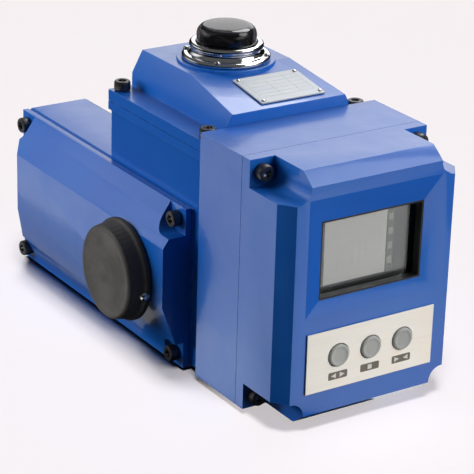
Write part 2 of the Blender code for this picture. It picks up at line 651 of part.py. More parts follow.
def control_lid():
    """The deep lid: bevelled front, a notch at each screw, display funnel and window, three key holes."""
    front, bevel_x = LID_X[1], LID_X[1] - LID_BEVEL_X
    rings = [(LID_X[0], 0), (bevel_x, 0), (front, LID_BEVEL)]
    outlines = [[Vector((x, y, z)) for y, z in rectangle(BOX_HALF_Y - i, (BOX_Z[0] + i, BOX_Z[1] - i))]
                for x, i in rings]
    lid = solid("control_lid", skin(outlines), "blue_paint")
    floor_x = front - WALL
    cut(lid, prism("lid_room", "X", box_room(), (LID_X[0] - 5 * MM, floor_x - 4 * MM)),
        prism("lid_room_front", "X", cross((-BOX_HALF_Y + 10 * MM, BOX_Z[0] + 10 * MM),
                                           (BOX_HALF_Y - 10 * MM, BOX_Z[1] - 10 * MM), 8 * MM),
              (floor_x - 6 * MM, floor_x)))
    around = rectangle(WINDOW_HALF_Y + 5 * MM, (WINDOW_Z[0] - 5 * MM, WINDOW_Z[1] + 5 * MM))
    frame = prism("window_frame", "X", around, (front - WINDOW_DEPTH, front - MM))
    join(lid, frame)
    for y, z in board_corners():
        join(lid, rod("display_post", "X", (y, z), 2.5 * MM, (front - 19 * MM, front - MM), count=8))
    funnel_rings = [(front + MM, FUNNEL_HALF_Y + 3.6 * MM, (FUNNEL_Z[0] - 2.7 * MM, FUNNEL_Z[1] + 5 * MM)),
                    (front - FUNNEL_DEPTH, WINDOW_HALF_Y, WINDOW_Z)]
    funnel = solid("display_funnel", skin([[Vector((x, y, z)) for y, z in rectangle(half, span)]
                                           for x, half, span in funnel_rings]))
    window = prism("window_opening", "X", rectangle(WINDOW_HALF_Y, WINDOW_Z), (front - 12 * MM, front + MM))
    cut(lid, funnel, window)
    for y in (-KEY_PITCH, 0, KEY_PITCH):
        cut(lid, rod("key_pocket", "X", (y, KEY_Z), KEY_R + 0.5 * MM, (front - 1.3 * MM, front + MM),
                     count=20),
            rod("key_hole", "X", (y, KEY_Z), 3.8 * MM, (front - 8 * MM, front), count=14))
    middle_z = sum(BOX_Z) / 2
    seat = LID_X[0] + EAR
    for y, z in box_corners():
        outline = notch_outline((y, z), math.copysign(1, y), math.copysign(1, z - middle_z))
        cut(lid, prism("lid_notch", "X", outline, (seat, front + 5 * MM)),
            rod("lid_hole", "X", (y, z), HOLE_R, (LID_X[0] - MM, seat + MM), count=10))
    return lid


def display():
    """Window, display module, its board with three contacts, keypad plate and the three keys."""
    front = LID_X[1]
    glass_x = front - WINDOW_DEPTH - GAP
    pane = rectangle(WINDOW_HALF_Y + 3 * MM, (WINDOW_Z[0] - 3 * MM, WINDOW_Z[1] + 1.5 * MM))
    prism("display_window", "X", pane, (glass_x - 1.5 * MM, glass_x), "clear_glass")
    module_x = glass_x - 1.5 * MM - GAP
    prism("lcd_module", "X", rectangle(WINDOW_HALF_Y - 3.5 * MM, (WINDOW_Z[0] - 1.5 * MM, WINDOW_Z[1] + MM)),
          (module_x - 7 * MM, module_x), "display")
    board_x = front - 19 * MM - GAP
    board = prism("display_board", "X", rectangle(36 * MM, BOARD_Z), (board_x - 1.6 * MM, board_x),
                  "circuit_board")
    for y in (-KEY_PITCH, 0, KEY_PITCH):
        contact = prism("key_contact", "X", rectangle(3 * MM, (-3 * MM, 3 * MM)),
                        (board_x - MM, board_x + 4 * MM))
        contact.data.transform(Matrix.Translation((0, y, KEY_Z)))
        join(board, contact)
    keypad = prism("keypad_plate", "X", rectangle(KEYPAD_HALF_Y, KEYPAD_Z), (front + GAP, front + 0.9 * MM),
                   "silver_plate")
    names = ("key_open", "key_stop", "key_close")
    for name, y in zip(names, (-KEY_PITCH, 0, KEY_PITCH)):
        cut(keypad, rod(name + "_hole", "X", (y, KEY_Z), KEY_R + 0.4 * MM, (front, front + 2 * MM), count=20))
        profile = [(0, board_x + 5 * MM), (3.5 * MM, board_x + 5 * MM), (3.5 * MM, front - GAP / 2),
                   (KEY_R, front - GAP / 2), (KEY_R, front + 1.5 * MM), (KEY_R - 0.7 * MM, front + 2.1 * MM),
                   (0, front + 2.1 * MM)]
        origin_at(turned(name, "X", (y, KEY_Z), profile, "grey_key", 20), (front, y, KEY_Z))


def control_electronics():
    """The power board on its posts, and the terminal block on it."""
    board_x = BOX_X[0] + 14 * MM + GAP
    board = prism("control_board", "X", rectangle(38 * MM, BOARD_Z), (board_x, board_x + 1.6 * MM),
                  "circuit_board")
    relay = prism("relay", "X", rectangle(9 * MM, (84 * MM, 110 * MM)), (board_x + MM, board_x + 15 * MM))
    transformer = prism("transformer", "X", [(-33 * MM, 60 * MM), (-12 * MM, 60 * MM), (-12 * MM, 80 * MM),
                                             (-33 * MM, 80 * MM)], (board_x + MM, board_x + 17 * MM))
    join(board, relay, transformer)
    base_x = board_x + 1.6 * MM + GAP
    block = prism("terminal_block", "X", rectangle(32 * MM, (24 * MM, 40 * MM)), (base_x, base_x + 11 * MM),
                  "dark_plastic")
    pitch = 8 * MM
    for i in range(8):
        y = (i - 3.5) * pitch
        cut(block, rod("terminal_well", "X", (y, 34 * MM), 2.6 * MM, (base_x + 6 * MM, base_x + 12 * MM),
                       count=8))


def hexagon(across_flats, centre):
    return circle(across_flats / math.sqrt(3), 6, centre, turn=0.5)


def cable_entries():
    """A cable gland and, in the spare entry, a blanking plug, both on the +Y wall."""
    wall = BOX_HALF_Y + GAP
    seat = BOX_HALF_Y - WALL
    centre = (GLAND_Z, GLAND_X)
    body = prism("gland_body", "Y", hexagon(24 * MM, centre), (wall, wall + 5 * MM), "black_rubber")
    join(body, rod("gland_thread", "Y", centre, 9.7 * MM, (seat - 5 * MM, wall + MM)),
         rod("gland_neck", "Y", centre, 8.5 * MM, (wall + 4 * MM, wall + 13 * MM)))
    cut(body, rod("gland_bore", "Y", centre, 6 * MM, (seat - 6 * MM, wall + 14 * MM), count=20))
    nut_y = wall + 5 * MM + GAP
    nut = prism("gland_nut", "Y", hexagon(23 * MM, centre), (nut_y, nut_y + 9 * MM), "black_rubber")
    profile = [(0, nut_y + 8 * MM), (10.5 * MM, nut_y + 8 * MM), (10.5 * MM, nut_y + 12 * MM),
               (8.5 * MM, nut_y + 18 * MM), (0, nut_y + 18 * MM)]
    dome = turned("gland_dome", "Y", centre, profile, None, 24)
    join(nut, dome)
    cut(nut, rod("nut_room", "Y", centre, 8.5 * MM + GAP, (nut_y - MM, nut_y + 9 * MM), count=24),
        rod("nut_bore", "Y", centre, 6 * MM, (nut_y, nut_y + 19 * MM), count=20))
    spare = (BLANK_Z, GLAND_X)
    profile = [(0, seat - 4 * MM), (9.7 * MM, seat - 4 * MM), (9.7 * MM, wall), (12.5 * MM, wall),
               (12.5 * MM, wall + 3.5 * MM), (11.5 * MM, wall + 4.5 * MM), (0, wall + 4.5 * MM)]
    blank = turned("blanking_plug", "Y", spare, profile, "black_rubber", 24)
    cut(blank, rod("blank_key", "Y", spare, 5 * MM, (wall + 2 * MM, wall + 6 * MM), count=6))


# ---------------------------------------------------------------- drive train

def motor_and_capacitor():
    centre = (DRIVE_Z, MOTOR_X)
    back = SIDE_REAR_Y - WALL - GAP
    front = LAYER_1[1] + 1.5 * MM
    end_r = MOTOR_R - 2 * MM
    profile = [(0, front), (10 * MM, front), (10 * MM, front + MM), (end_r, front + MM),
               (MOTOR_R, front + 3 * MM), (MOTOR_R, back - 3 * MM), (end_r, back), (0, back)]
    body = turned("motor_body", "Y", centre, profile, "steel", 32)
    cut(body, rod("motor_bore", "Y", centre, MOTOR_SHAFT_R + GAP, (front - MM, front + 8 * MM), count=12))
    shaft = rod("motor_rotor", "Y", centre, MOTOR_SHAFT_R, (LAYER_1[0], front + 7 * MM), "steel", 12)
    join(shaft, spur("motor_pinion", MOTOR_X, LAYER_1, MOTOR_T, SPUR_M, TOWARDS_PLUS_X))
    origin_at(shaft, (MOTOR_X, 0, DRIVE_Z))
    can = (DRIVE_Z, SIDE_X[0] + 15 * MM)
    rod("motor_capacitor", "Y", can, CAPACITOR_R, (-44 * MM, back), "dark_plastic", 24)


def half_tooth(teeth):
    return math.pi / teeth


def spur_clusters():
    """The first cluster and the hand drive cluster, each loose on its axle."""
    first = spur("cluster_gear", CLUSTER_X, LAYER_1, CLUSTER_BIG_T, SPUR_M,
                 TOWARDS_MINUS_X + half_tooth(CLUSTER_BIG_T), "steel")
    small = (LAYER_1[1] - 0.5 * MM, LAYER_2[1])
    join(first, spur("cluster_pinion", CLUSTER_X, small, CLUSTER_SMALL_T, SPUR_M, TOWARDS_PLUS_X))
    cut(first, rod("cluster_bore", "Y", (DRIVE_Z, CLUSTER_X), AXLE_BORE_R, (LAYER_1[0] - MM, LAYER_2[1] + MM),
                   count=14))
    origin_at(first, (CLUSTER_X, 0, DRIVE_Z))
    rod("cluster_axle", "Y", (DRIVE_Z, CLUSTER_X), AXLE_R, (LAYER_1[0] - MM, WEB_Y[1]), "steel", 12)

    second = spur("hand_drive_gear", MANUAL_X, LAYER_2, MANUAL_BIG_T, SPUR_M,
                  TOWARDS_MINUS_X + half_tooth(MANUAL_BIG_T), "steel")
    small = (LAYER_2[1] - 0.5 * MM, LAYER_3[1])
    hub = (HAND_HUB_END_Y, LAYER_2[0] + MM)
    join(second, spur("hand_drive_pinion", MANUAL_X, small, MANUAL_SMALL_T, FINE_M, TOWARDS_PLUS_X),
         rod("hand_drive_hub", "Y", (DRIVE_Z, MANUAL_X), HAND_HUB_R, hub, count=20))
    cut(second, rod("hand_drive_socket", "Y", (DRIVE_Z, MANUAL_X), HAND_HEX_R,
                    (HAND_HUB_END_Y - MM, -53 * MM), count=6),
        rod("hand_drive_bore", "Y", (DRIVE_Z, MANUAL_X), AXLE_BORE_R, (-51 * MM, LAYER_3[1] + MM), count=14))
    origin_at(second, (MANUAL_X, 0, DRIVE_Z))
    rod("hand_drive_axle", "Y", (DRIVE_Z, MANUAL_X), AXLE_R, (-50.5 * MM, WEB_Y[1]), "steel", 12)


def worm_thread():
    """A right-hand thread swept round the worm's core, its crest opposite the wheel at y = 0."""
    lead = math.pi * WORM_M
    steps = 12
    turns = 2 * (WORM_HALF_LENGTH - 3 * MM) / lead
    count = round(turns * steps)
    root_r, tip_r = WORM_R - 1.4 * WORM_M, WORM_R + 0.85 * WORM_M
    half = 0.42 * lead / 2
    root_w, tip_w = half + 1.4 * WORM_M * 0.364, half - 0.85 * WORM_M * 0.364
    sunk = 0.4 * MM
    rings = []
    for i in range(count + 1):
        angle = 2 * math.pi * (i - count / 2) / steps
        y = lead * angle / (2 * math.pi)
        across = TOWARDS_MINUS_X + angle
        ring = [(root_r - sunk, y - root_w), (tip_r, y - tip_w), (tip_r, y + tip_w),
                (root_r - sunk, y + root_w)]
        out_z, out_x = math.cos(across), math.sin(across)
        rings.append([at("Y", DRIVE_Z + r * out_z, WORM_X + r * out_x, w) for r, w in ring])
    return solid("worm_thread", skin(rings))


def worm():
    """Worm shaft, its spur gear and two ball bearings, modelled as plain rings."""
    centre = (DRIVE_Z, WORM_X)
    core_r = WORM_R - 1.4 * WORM_M
    end = PILLAR_Y + 9 * MM
    gear_end = LAYER_3[0] - MM
    profile = [(0, gear_end), (WORM_SHAFT_R, gear_end), (WORM_SHAFT_R, LAYER_3[1] + GAP),
               (5 * MM, LAYER_3[1] + GAP),
               (5 * MM, -WORM_HALF_LENGTH - MM), (core_r, -WORM_HALF_LENGTH), (core_r, WORM_HALF_LENGTH),
               (5 * MM, WORM_HALF_LENGTH + MM), (5 * MM, end), (0, end)]
    shaft = turned("worm_shaft", "Y", centre, profile, "steel", 20)
    join(shaft, worm_thread())
    origin_at(shaft, (WORM_X, 0, DRIVE_Z))
    gear = spur("worm_gear", WORM_X, LAYER_3, WORM_GEAR_T, FINE_M, TOWARDS_MINUS_X + half_tooth(WORM_GEAR_T),
                "steel")
    cut(gear, rod("worm_gear_bore", "Y", centre, WORM_SHAFT_R + GAP, (LAYER_3[0] - MM, LAYER_3[1] + MM),
                  count=14))
    origin_at(gear, (WORM_X, 0, DRIVE_Z))
    for name, y in (("worm_bearing_front", WEB_Y[0] + 0.3 * MM), ("worm_bearing_rear", PILLAR_Y + 0.5 * MM)):
        ring = [(5.3 * MM, y), (BEARING_R, y), (BEARING_R, y + BEARING_W), (5.3 * MM, y + BEARING_W)]
        turned(name, "Y", centre, ring, "steel", 20)


def worm_wheel():
    """A helical wheel that matches the worm's lead, with a tooth gap towards the worm."""
    lead_slope = math.pi * WORM_M / (2 * math.pi * WORM_R)
    wheel_r = WHEEL_T * WORM_M / 2
    middle = sum(WHEEL_Z) / 2
    rings = []
    for z in WHEEL_Z:
        lift = (z - middle) * lead_slope / wheel_r
        outline = gear_outline(WHEEL_T, WORM_M, half_tooth(WHEEL_T), thickness=0.42, addendum=0.8, lift=lift)
        rings.append([Vector((u, v, z)) for u, v in outline])
    wheel = solid("worm_wheel", skin(rings), "bronze")
    hub = rod("wheel_hub", "Z", (0, 0), 14 * MM, (WHEEL_Z[0] - 3 * MM, WHEEL_Z[1] + 3 * MM))
    bore = rod("wheel_bore", "Z", (0, 0), 10 * MM, (WHEEL_Z[0] - 5 * MM, WHEEL_Z[1] + 5 * MM), count=20)
    return cut(join(wheel, hub), bore)


def output_shaft():
    """The driven shaft: a double-square socket below, the wheel seat, and a spindle up to the dial."""
    top = BOSS_Z + 4.5 * MM
    profile = [(0, 0.6 * MM), (15 * MM, 0.6 * MM), (15 * MM, 11.1 * MM), (19 * MM, 11.1 * MM),
               (19 * MM, 15 * MM),
               (12.5 * MM, 17 * MM), (12.5 * MM, WHEEL_Z[0] - 3.3 * MM), (9.7 * MM, WHEEL_Z[0] - 3.3 * MM),
               (9.7 * MM, 60 * MM), (7 * MM, 61 * MM), (7 * MM, 106 * MM), (4.8 * MM, 107 * MM),
               (4.8 * MM, BOSS_Z + 0.5 * MM), (3 * MM, BOSS_Z + 0.5 * MM), (3 * MM, top), (0, top)]
    shaft = turned("output_shaft", "Z", (0, 0), profile, "steel", 24)
    half = 7 * MM
    for name, turn in (("drive_square", 0.5), ("drive_square_turned", 0)):
        cut(shaft, prism(name, "Z", circle(half * math.sqrt(2), 4, turn=turn), (-5 * MM, 18 * MM)))
    bush = [(15.3 * MM, PAD_H + 0.4 * MM), (18 * MM, PAD_H + 0.4 * MM), (18 * MM, TOWER_FLOOR + GAP),
            (20.5 * MM, TOWER_FLOOR + GAP), (20.5 * MM, TOWER_FLOOR + 1.8 * MM),
            (15.3 * MM, TOWER_FLOOR + 1.8 * MM)]
    turned("output_bushing", "Z", (0, 0), bush, "bronze", 28)


def cam_and_feedback():
    """Cam drum with its gear, potentiometer, and two limit switches on a bracket."""
    drum = prism("cam_drum", "Z", gear_outline(DRUM_T, DRUM_M, math.pi / 2), DRUM_GEAR_Z, "nylon")
    hub = rod("drum_hub", "Z", (0, 0), 9.5 * MM, (DRUM_GEAR_Z[0] + MM, 103 * MM))
    join(drum, hub)
    for z, start in zip(SWITCH_Z, (-0.6, math.pi - 2.7)):
        arc = [start + 0.9 * i / 8 for i in range(9)]
        lobe = [(0, 0)] + [(LOBE_R * math.cos(a), LOBE_R * math.sin(a)) for a in arc]
        join(drum, prism("cam_lobe", "Z", lobe, (z + 0.5 * MM, z + 5.5 * MM)))
    cut(drum, rod("drum_bore", "Z", (0, 0), 7.3 * MM, (DRUM_GEAR_Z[0] - MM, 104 * MM), count=20))

    plate_z = (LEDGE_Z[1] + GAP, LEDGE_Z[1] + GAP + 2 * MM)
    inner_x = (TOWER_X[0] + WALL + GAP, TOWER_X[1] - WALL - GAP)
    bracket = box("switch_bracket", (inner_x[0], -24 * MM, plate_z[0]), (inner_x[1], 40 * MM, plate_z[1]),
                  "steel")
    switch_x = LEVER_X + 3.2 * MM
    pins = [(switch_x + 7 * MM, y) for y in (-6 * MM, 6 * MM)]
    for centre in pins:
        join(bracket, rod("switch_spacer", "Z", centre, 2.6 * MM, (plate_z[1] - MM, SWITCH_Z[0] - GAP),
                          count=10),
             rod("switch_pin", "Z", centre, 1.1 * MM, (plate_z[1] - MM, SWITCH_Z[1] + SWITCH_H + 2 * MM),
                 count=8))
    cut(bracket, rod("shaft_clearance", "Z", (0, 0), 10 * MM, (plate_z[0] - MM, plate_z[1] + MM), count=20),
        rod("pot_clearance", "Z", (0, POT_Y), 3.4 * MM, (plate_z[0] - MM, plate_z[1] + MM), count=12))

    for index, z in enumerate(SWITCH_Z, 1):
        body = box(f"limit_switch_{index}", (switch_x, -10 * MM, z),
                   (switch_x + 10 * MM, 10 * MM, z + SWITCH_H),
                   "dark_plastic")
        for centre in pins:
            cut(body, rod("switch_hole", "Z", centre, 1.4 * MM, (z - MM, z + SWITCH_H + MM), count=10))
        arm = [(LEVER_X, -10 * MM), (LEVER_X + 0.9 * MM, -10 * MM), (LEVER_X + 0.9 * MM, 8 * MM),
               (LEVER_X, 8 * MM)]
        lever = prism(f"switch_lever_{index}", "Z", arm, (z + 0.8 * MM, z + SWITCH_H - 1.2 * MM), "steel")
        origin_at(lever, (LEVER_X + 0.45 * MM, LEVER_PIVOT_Y, z + SWITCH_H / 2))

    pot_top = plate_z[0] - GAP
    pot = rod("potentiometer", "Z", (0, POT_Y), 8 * MM, (pot_top - 11 * MM, pot_top), "dark_plastic", 24)
    cut(pot, rod("pot_bore", "Z", (0, POT_Y), 3.4 * MM, (pot_top - 7 * MM, pot_top + MM), count=12))
    outline = shifted(gear_outline(POT_T, DRUM_M, -math.pi / 2 + half_tooth(POT_T)), (0, POT_Y))
    gear = prism("feedback_gear", "Z", outline, DRUM_GEAR_Z, "nylon")
    join(gear, rod("feedback_shaft", "Z", (0, POT_Y), 3 * MM, (pot_top - 6 * MM, DRUM_GEAR_Z[0] + MM),
                   count=12))
    origin_at(gear, (0, POT_Y, 0))


def earth_screw():
    """The external earth terminal: a hexagon screw with its washer, on the -X end."""
    seat = SIDE_X[0] - EARTH_BOSS - GAP
    profile = [(0, seat + 9 * MM), (SCREW_R, seat + 9 * MM), (SCREW_R, seat), (6 * MM, seat),
               (6 * MM, seat - 1.2 * MM),
               (0, seat - 1.2 * MM)]
    screw = turned("earth_screw", "X", EARTH_AT, profile, "steel", 12)
    join(screw, prism("earth_head", "X", shifted(hexagon(8 * MM, (0, 0)), EARTH_AT),
                      (seat - 4.9 * MM, seat - MM)))


def fasteners():
    """Twelve socket screws: four each for the top cover, the side cover and the lid."""
    for index, centre in enumerate(top_corners(), 1):
        socket_screw(f"top_cover_screw_{index}", "Z", centre, COVER_Z[1] + GAP, 1, 16 * MM)
    for index, centre in enumerate(side_corners(), 1):
        socket_screw(f"side_cover_screw_{index}", "Y", centre, COVER_EAR_Y - GAP, -1, 14 * MM)
    for index, centre in enumerate(box_corners(), 1):
        socket_screw(f"lid_screw_{index}", "X", centre, LID_X[0] + EAR + GAP, 1, 18 * MM)


def build():
    for obj in list(bpy.data.objects):
        bpy.data.objects.remove(obj)
    main_housing()
    top_cover_gasket()
    side_cover_gasket()
    top_cover()
    indicator()
    nameplate()
    side_cover()
    override_plug()
    control_housing()
    control_lid_gasket()
    control_lid()
    display()
    control_electronics()
    cable_entries()
    motor_and_capacitor()
    spur_clusters()
    worm()
    worm_wheel()
    output_shaft()
    cam_and_feedback()
    earth_screw()
    fasteners()


build()
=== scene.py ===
"""Finished looks of a motorized part-turn valve actuator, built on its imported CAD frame."""

import math

import bmesh
import bpy
from mathutils import Matrix, Vector


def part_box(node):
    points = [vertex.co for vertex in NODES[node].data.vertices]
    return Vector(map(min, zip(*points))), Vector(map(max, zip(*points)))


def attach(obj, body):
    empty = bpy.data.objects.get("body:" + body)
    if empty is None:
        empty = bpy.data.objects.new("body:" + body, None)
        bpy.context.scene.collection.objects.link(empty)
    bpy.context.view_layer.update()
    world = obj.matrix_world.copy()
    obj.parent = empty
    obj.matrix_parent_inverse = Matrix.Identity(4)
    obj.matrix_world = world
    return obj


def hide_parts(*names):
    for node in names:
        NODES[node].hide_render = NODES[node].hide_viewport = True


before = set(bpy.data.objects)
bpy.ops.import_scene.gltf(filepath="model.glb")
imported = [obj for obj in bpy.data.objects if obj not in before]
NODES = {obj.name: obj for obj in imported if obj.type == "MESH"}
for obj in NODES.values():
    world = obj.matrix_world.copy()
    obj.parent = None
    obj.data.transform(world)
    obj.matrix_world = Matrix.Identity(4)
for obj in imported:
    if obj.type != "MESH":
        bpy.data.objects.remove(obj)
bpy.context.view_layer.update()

MM = 0.001
X, Y, Z = Vector((1, 0, 0)), Vector((0, 1, 0)), Vector((0, 0, 1))

# Camera: its direction from the object, its roll, the point it looks at, and how far off it is
AZIMUTH, ELEVATION, ROLL = math.radians(56.44), math.radians(22.32), math.radians(1.69)
TARGET = Vector((29.47, -9.58, 59.4)) * MM
DISTANCE = 1092.3 * MM
LENS = 160.6

# The way in which the box's faces mirror the line of sight, level with the floor
MIRRORED = Vector((0.79, 0.613, 0))

# Softboxes: name, direction, distance, size, brightness, and whether glossy surfaces show it
MIDDLE = Vector((20, 0, 70)) * MM
SOFTBOXES = (
    ("left", (-0.60, -0.75, 0.30), 1.1, 0.8, 1.05, False),
    ("high_left", (-0.30, -0.62, 0.72), 1.1, 0.6, 0.14, False),
    ("right", (0.85, 0.42, 0.32), 1.1, 0.8, 0.88, False),
    ("overhead", (-0.27, 0.56, 0.77), 1.1, 0.6, 0.45, True),
    ("high_right", (0.401, 0.561, 0.724), 1.1, 0.6, 0.26, True),
    ("behind", (-0.70, 0.58, 0.44), 1.1, 0.8, 0.18, True),
    ("front", (0.50, -0.85, 0.12), 1.2, 0.9, 0.08, False),
)

# Floor, in metres: half its width, the radius of its flat middle, and of the bend beyond that
FLOOR_REACH, FLOOR_FLAT, FLOOR_BEND = 40.0, 3.0, 80.0
FLOOR_STEPS = 80

# Castings
CAST_EDGE = 1.1 * MM        # rounding of a cast edge
MACHINED_EDGE = 0.2 * MM    # and of the edges of a machined joint face
SEAM = 0.15 * MM            # half the gap left at a joint
FIT_GAP = 0.3 * MM          # between CAD pieces that touch
GASKET_EDGE = 0.05 * MM
WINDOW_FLARE = (0.93, 0.995)    # least and most x of the normals of the slopes round the display window; the left and upper ones get painted shade

# M5 socket screws
KNURLS = 36
SHANK_R = 2.5 * MM
HEAD_HEIGHT = 5 * MM
HEX_FLATS = 4 * MM
SOCKET_DEPTH = 2.6 * MM
SCREW_TURN = 0.37           # radians from one screw of a group to the next
SCREW_SHARP = math.radians(30)

# Meshes
WELD = 2e-6                 # distance at which vertices are one
FLAT = math.radians(0.5)    # facets that meet at less are one face
FOLD = math.radians(32)     # facets that meet at more have an edge to round
CORNER = math.radians(38)   # the same for a shape made here
SHARP = math.radians(35)    # shading is smooth across a lesser angle
ON_FACE = 0.02 * MM         # how near a joint face its vertices lie
PRINT = 0.04 * MM           # thickness of a printed rule

# Window opening in the lid: half its width, and its sill and head
WINDOW_HALF_Y, WINDOW_SILL, WINDOW_HEAD = 30 * MM, 67.4 * MM, 107.7 * MM

# Lamps for the floor alone: name, direction, energy, and the castings that throw the shadow
LAMP_SPREAD = math.radians(16)
FLOOR_LAMPS = (
    ("floor_lamp_1", (0.30, -0.17, 1), 1.5,
     ("main_housing", "top_cover", "side_cover", "control_housing", "control_lid")),
    ("floor_lamp_2", (-0.16, 0.02, 1), 1.95, ("main_housing", "side_cover")),
)

# The room that glossy surfaces show: where it turns pale and how pale, by how far a way in it leans
# towards MIRRORED or against it, and by its height
PALE_SIDES, PALE_ABOVE = (0.78, 0.92, 1.0), (0.2, 0.45, 1.4)
ROOM_DARK = 0.06

# Cards that lie on the floor and show in glossy surfaces: name, centre, size, glow
LEFT_CARD = ("left_card", (-0.105, -0.2175), (0.39, 0.245), 0.92)
BOX_CARD = ("box_card", (0.055, -0.075), (0.11, 0.04), 1.1)
NEAR_CARD = ("near_card", (-0.095, -0.075), (0.19, 0.04), 0.35)
RIGHT_CARD = ("right_card", (0.304, 0.131), (0.43, 0.10), 1.0)
CARD_HEIGHT = 0.5 * MM


# ---------------------------------------------------------------- materials

class Finish:
    """A Principled material, with short calls for the procedural nodes that feed it."""

    def __init__(self, name, colour, roughness, **constants):
        self.material = bpy.data.materials.new(name)
        self.material.use_nodes = True
        self.tree = self.material.node_tree
        self.shader = self.tree.nodes["Principled BSDF"]
        self.colour = (*colour, 1)
        self.shader.inputs["Base Color"].default_value = self.colour
        self.shader.inputs["Roughness"].default_value = roughness
        for socket, value in constants.items():
            self.shader.inputs[socket.replace("_", " ")].default_value = value
        self.place = self.tree.nodes.new("ShaderNodeTexCoord").outputs["Object"]
        self.bumps = None

    def node(self, kind, output, inputs=(), **settings):
        """Adds a node, links or sets its inputs, and returns one of its outputs."""
        made = self.tree.nodes.new("ShaderNode" + kind)
        for key, value in settings.items():
            setattr(made, key, value)
        for key, value in dict(inputs).items():
            self.feed(made.inputs[key], value)
        return made.outputs[output]

    def feed(self, socket, value):
        if isinstance(value, bpy.types.NodeSocket):
            self.tree.links.new(value, socket)
        else:
            socket.default_value = value

    def noise(self, size, detail=2.0, roughness=0.5, stretch=None):
        """Noise whose blotches are about size metres across; stretch draws them out along the axes."""
        place = self.place
        if stretch:
            place = self.node("Mapping", "Vector", {"Vector": place, "Scale": stretch})
        return self.node("TexNoise", "Fac", {"Vector": place, "Scale": 1 / size, "Detail": detail,
                                             "Roughness": roughness})

    def spread(self, value, low, high, to_low=0.0, to_high=1.0):
        """The value taken from one range to another, and kept inside it."""
        return self.node("MapRange", "Result", {"Value": value, "From Min": low, "From Max": high,
                                                "To Min": to_low, "To Max": to_high})

    def times(self, a, b):
        return self.node("Math", "Value", {0: a, 1: b}, operation="MULTIPLY")

    def tint(self, factor, colour):
        """Mixes a second colour into the base colour where factor is high."""
        base = self.shader.inputs["Base Color"]
        below = base.links[0].from_socket if base.is_linked else self.colour
        mixed = self.tree.nodes.new("ShaderNodeMix")
        mixed.data_type = "RGBA"
        self.feed(mixed.inputs["Factor"], factor)
        self.feed(mixed.inputs[6], below)                   # A and B of a colour mix
        self.feed(mixed.inputs[7], (*colour, 1))
        self.tree.links.new(mixed.outputs[2], base)

    def roughen(self, value, low, high):
        """Roughness between two values, by a factor that runs from 0.3 to 0.7 like a noise."""
        self.feed(self.shader.inputs["Roughness"], self.spread(value, 0.3, 0.7, low, high))

    def bump(self, height, depth):
        """Relief of that depth in metres, on top of the bumps added before."""
        inputs = {"Height": height, "Distance": depth, "Strength": 1.0}
        if self.bumps:
            inputs["Normal"] = self.bumps
        self.bumps = self.node("Bump", "Normal", inputs)
        self.feed(self.shader.inputs["Normal"], self.bumps)
        if self.shader.inputs["Coat Weight"].default_value:
            self.feed(self.shader.inputs["Coat Normal"], self.bumps)

    def edges(self, radius):
        """1 on a sharp edge and 0 on a flat face."""
        soft = self.node("Bevel", "Normal", {"Radius": radius}, samples=4)
        true = self.node("NewGeometry", "Normal")
        straight = self.node("VectorMath", "Value", {0: soft, 1: true}, operation="DOT_PRODUCT")
        return self.spread(straight, 0.97, 0.80)


def enamel(name, colour, pale, gloss=1.0):
    """Stoved enamel over a casting: orange peel, a slow change of tone, and thin paint on the edges."""
    look = Finish(name, colour, 0.3, Coat_Weight=0.6 * gloss, Coat_Roughness=0.12,
                  Specular_IOR_Level=0.5 * gloss)
    slow = look.noise(70 * MM, 3.0)
    look.tint(look.spread(slow, 0.35, 0.7, 0.0, 0.6), pale)
    worn = look.times(look.edges(1.4 * MM), look.spread(look.noise(5 * MM, 4.0, 0.7), 0.45, 0.75))
    look.tint(look.times(worn, 0.4), (0.16, 0.30, 0.60))
    look.roughen(look.noise(18 * MM, 3.0), 0.29, 0.40)
    look.bump(look.noise(26 * MM, 2.0), 0.30 * MM)
    look.bump(look.noise(2.4 * MM, 1.0), 0.030 * MM)
    return look.material


def rubber(name, colour, roughness):
    """Moulded rubber: fine grain, paler where it is rubbed and dusty."""
    look = Finish(name, colour, roughness, Specular_IOR_Level=0.4)
    look.tint(look.spread(look.noise(22 * MM, 4.0, 0.6), 0.45, 0.75, 0.0, 0.35), (0.13, 0.12, 0.11))
    look.tint(look.times(look.edges(0.9 * MM), 0.3), (0.12, 0.12, 0.12))
    look.roughen(look.noise(9 * MM, 3.0), roughness - 0.12, roughness + 0.1)
    look.bump(look.noise(0.7 * MM, 2.0), 0.05 * MM)
    look.bump(look.noise(12 * MM, 2.0), 0.12 * MM)
    return look.material


def plastic(name, colour, roughness):
    """Moulded plastic with a fine spark-eroded grain."""
    look = Finish(name, colour, roughness)
    lighter = tuple(min(1.0, c * 1.35 + 0.01) for c in colour)
    look.tint(look.spread(look.noise(14 * MM, 3.0), 0.4, 0.7, 0.0, 0.5), lighter)
    look.roughen(look.noise(6 * MM, 3.0), roughness - 0.08, roughness + 0.1)
    look.bump(look.noise(0.45 * MM, 1.0), 0.02 * MM)
    return look.material


def metal(name, colour, roughness, grain=None):
    """Bare metal with tool marks drawn out across the grain, darker in patches."""
    look = Finish(name, colour, roughness, Metallic=1.0)
    darker = tuple(c * 0.72 for c in colour)
    look.tint(look.spread(look.noise(9 * MM, 4.0, 0.6), 0.4, 0.75, 0.0, 0.6), darker)
    marks = look.noise(1.2 * MM, 3.0, 0.6, stretch=grain)
    look.roughen(marks, max(0.04, roughness - 0.09), roughness + 0.12)
    look.bump(marks, 0.02 * MM)
    return look.material


def chrome():
    """Bright plating with faint wipe marks."""
    look = Finish("chrome_plate", (0.86, 0.87, 0.89), 0.07, Metallic=1.0)
    look.roughen(look.noise(6 * MM, 4.0, 0.65), 0.03, 0.14)
    look.tint(look.spread(look.noise(11 * MM, 3.0), 0.5, 0.8, 0.0, 0.25), (0.6, 0.61, 0.63))
    look.bump(look.noise(7 * MM, 1.0), 0.03 * MM)
    return look.material


